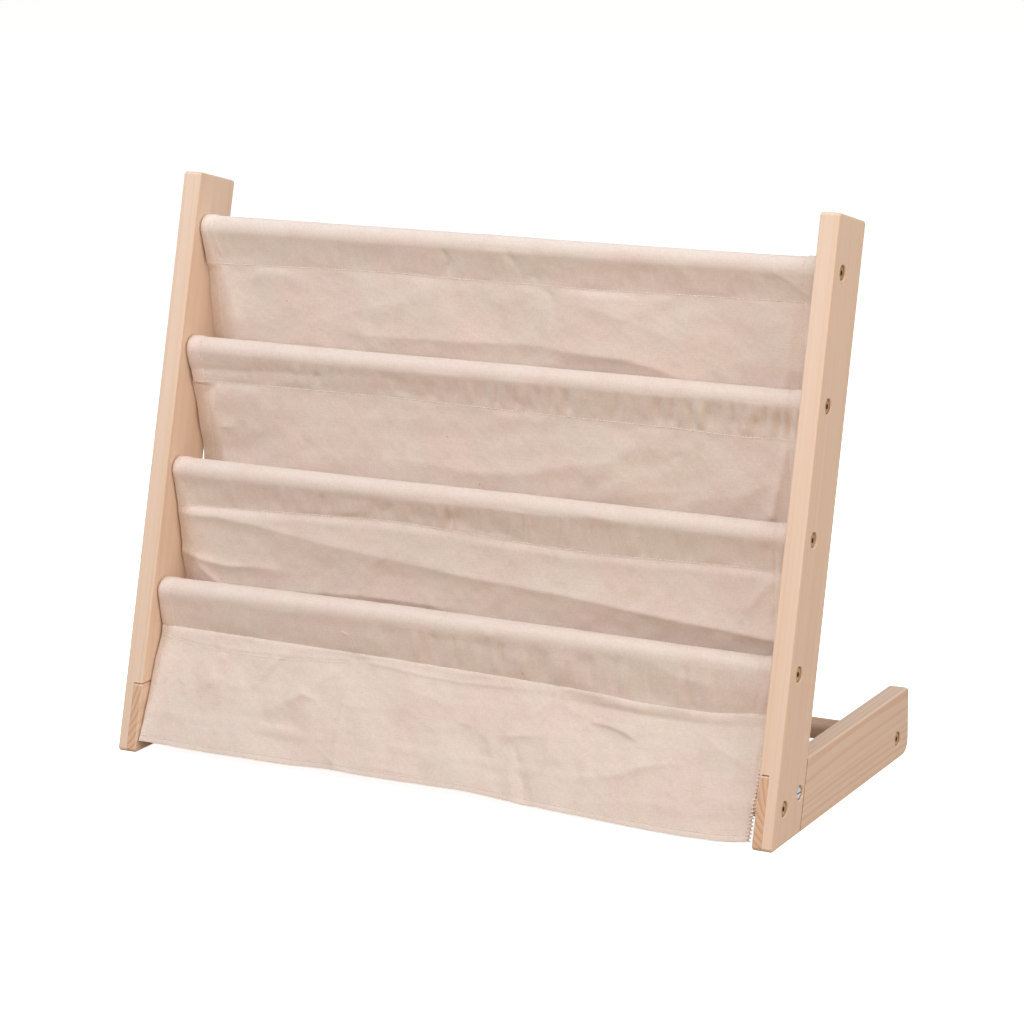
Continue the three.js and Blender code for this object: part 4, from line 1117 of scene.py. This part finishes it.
def run_along(line):
    """The way along a line of points, from its start to each point."""
    return np.concatenate([[0], np.cumsum(np.linalg.norm(np.diff(line, axis=0), axis=1))])


def points_at(at, run, values):
    """Rows of values, one for each way in run, read in straight steps at other ways along."""
    return np.stack([np.interp(at, run, values[:, axis]) for axis in range(3)], -1)


def stitch_row(line, normal, seed, radius=THREAD_RADIUS):
    """Stitches along a line of points, each lifted off the cloth in the middle and sunk in at its ends."""
    draw = np.random.default_rng(seed)
    run = run_along(line)
    made = []
    for start in np.arange(1.0, run[-1] - STITCH_LENGTH, STITCH_PITCH):
        at = start + STITCH_LENGTH * np.linspace(0, 1, 5) + draw.normal(0, 0.08)
        path = points_at(at, run, line) + points_at(at, run, normal) * np.array(STITCH_RISE)[:, None]
        made.append(tube(path, radius * np.array(STITCH_TAPER)))
    return made


def add_thread(name, tubes):
    """One mesh of all these tubes, in undyed cotton."""
    faces, points, first = [], [], 0
    for tube_points, tube_faces in tubes:
        points.append(tube_points)
        faces += [tuple(v + first for v in face) for face in tube_faces]
        first += len(tube_points)
    made = add_mesh(name, in_part(np.concatenate(points)), faces, cotton)
    outward(made.data)
    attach(made, "root")
    return made


def row_line(name, from_left, first=0):
    """The front's points and normals down the cloth at that distance from its left end, or its right if negative."""
    front, normal = front_of[name]
    end = -CLOTH_HALF_WIDTH if from_left > 0 else CLOTH_HALF_WIDTH
    row = int(np.argmin(np.abs(station - end - from_left)))
    return front[row, first:], normal[row, first:]


front_columns = len(rows_up) + 8
for number in range(1, 5):
    front, normal = front_of[f"canvas_sleeve_{number}"]
    tubes = stitch_row(front[:, -1], normal[:, -1], number)
    for from_left in (HEM_WIDTH, -HEM_WIDTH):
        tubes += stitch_row(*row_line(f"canvas_sleeve_{number}", from_left, front_columns), 10 + number, HEM_THREAD)
        if number < LOWEST:
            tubes += stitch_row(*row_line(f"canvas_wall_{number}", from_left), 20 + number, HEM_THREAD)
    if number == LOWEST:
        # The lowest seam is sewn a second time on the left, and its thread's loose end lies up on the sleeve
        part = front[:, front_columns:].reshape(-1, 3)
        second = np.array([(-280, 93.0), (-272, 92.6), (-243, 88.7), (-217, 87.0), (-152, 87.8), (-99, 91.2)])
        front, normal = front_of["canvas_apron"]
        rows = np.flatnonzero((front[:, 0, 0] > -280) & (front[:, 0, 0] < -99))
        wanted = np.interp(front[rows, 0, 0], *second.T)
        columns = np.array([np.argmin(np.abs(front[r, :, 2] - w)) for r, w in zip(rows, wanted)])
        tubes += stitch_row(front[rows, columns], normal[rows, columns], 30)
        tail = np.array([(-93, 36.0, 100.2), (-94, 33.9, 108.1), (-97, 32.6, 114.9), (-103, 32.2, 117.8)])
        bent = points_at(np.linspace(0, 3, 13), range(4), tail)
        for point in bent:
            nearest = np.argmin(np.hypot(part[:, 0] - point[0], part[:, 2] - point[2]))
            point[1] = part[nearest, 1] - TAIL_LIFT
        tubes.append(tube(bent, TAIL_RADIUS))
    add_thread(f"cotton_thread_seam_{number}", tubes)

front, normal = front_of["canvas_apron"]
middle_z = front[len(share) // 2, :, 2]
hem_column = int(np.argmin(np.abs(middle_z - middle_z[-1] - EDGE_HEM)))
tubes = stitch_row(front[:, hem_column], normal[:, hem_column], 41)
tubes += stitch_row(*row_line("canvas_apron", EDGE_HEM), 42)
# The thread over the raw edge winds round it, further in than out
edge, edge_out = front[-1], normal[-1]
inward = front[-4] - front[-1]
inward /= np.linalg.norm(inward, axis=1, keepdims=True)
run = run_along(edge)
turns = run[-1] / OVERLOCK_PITCH
phase = np.linspace(0, turns, int(turns * 10))
at = phase / turns * run[-1]
round_edge = 2 * math.pi * phase
edge_out = points_at(at, run, edge_out)
tubes.append(tube(
    points_at(at, run, edge) - 0.5 * CLOTH_THICKNESS * edge_out
    + (0.4 - 1.8 * np.cos(round_edge))[:, None] * points_at(at, run, inward)
    + (1.05 * np.sin(round_edge))[:, None] * edge_out, OVERLOCK_RADIUS))
add_thread("cotton_thread_apron", tubes)
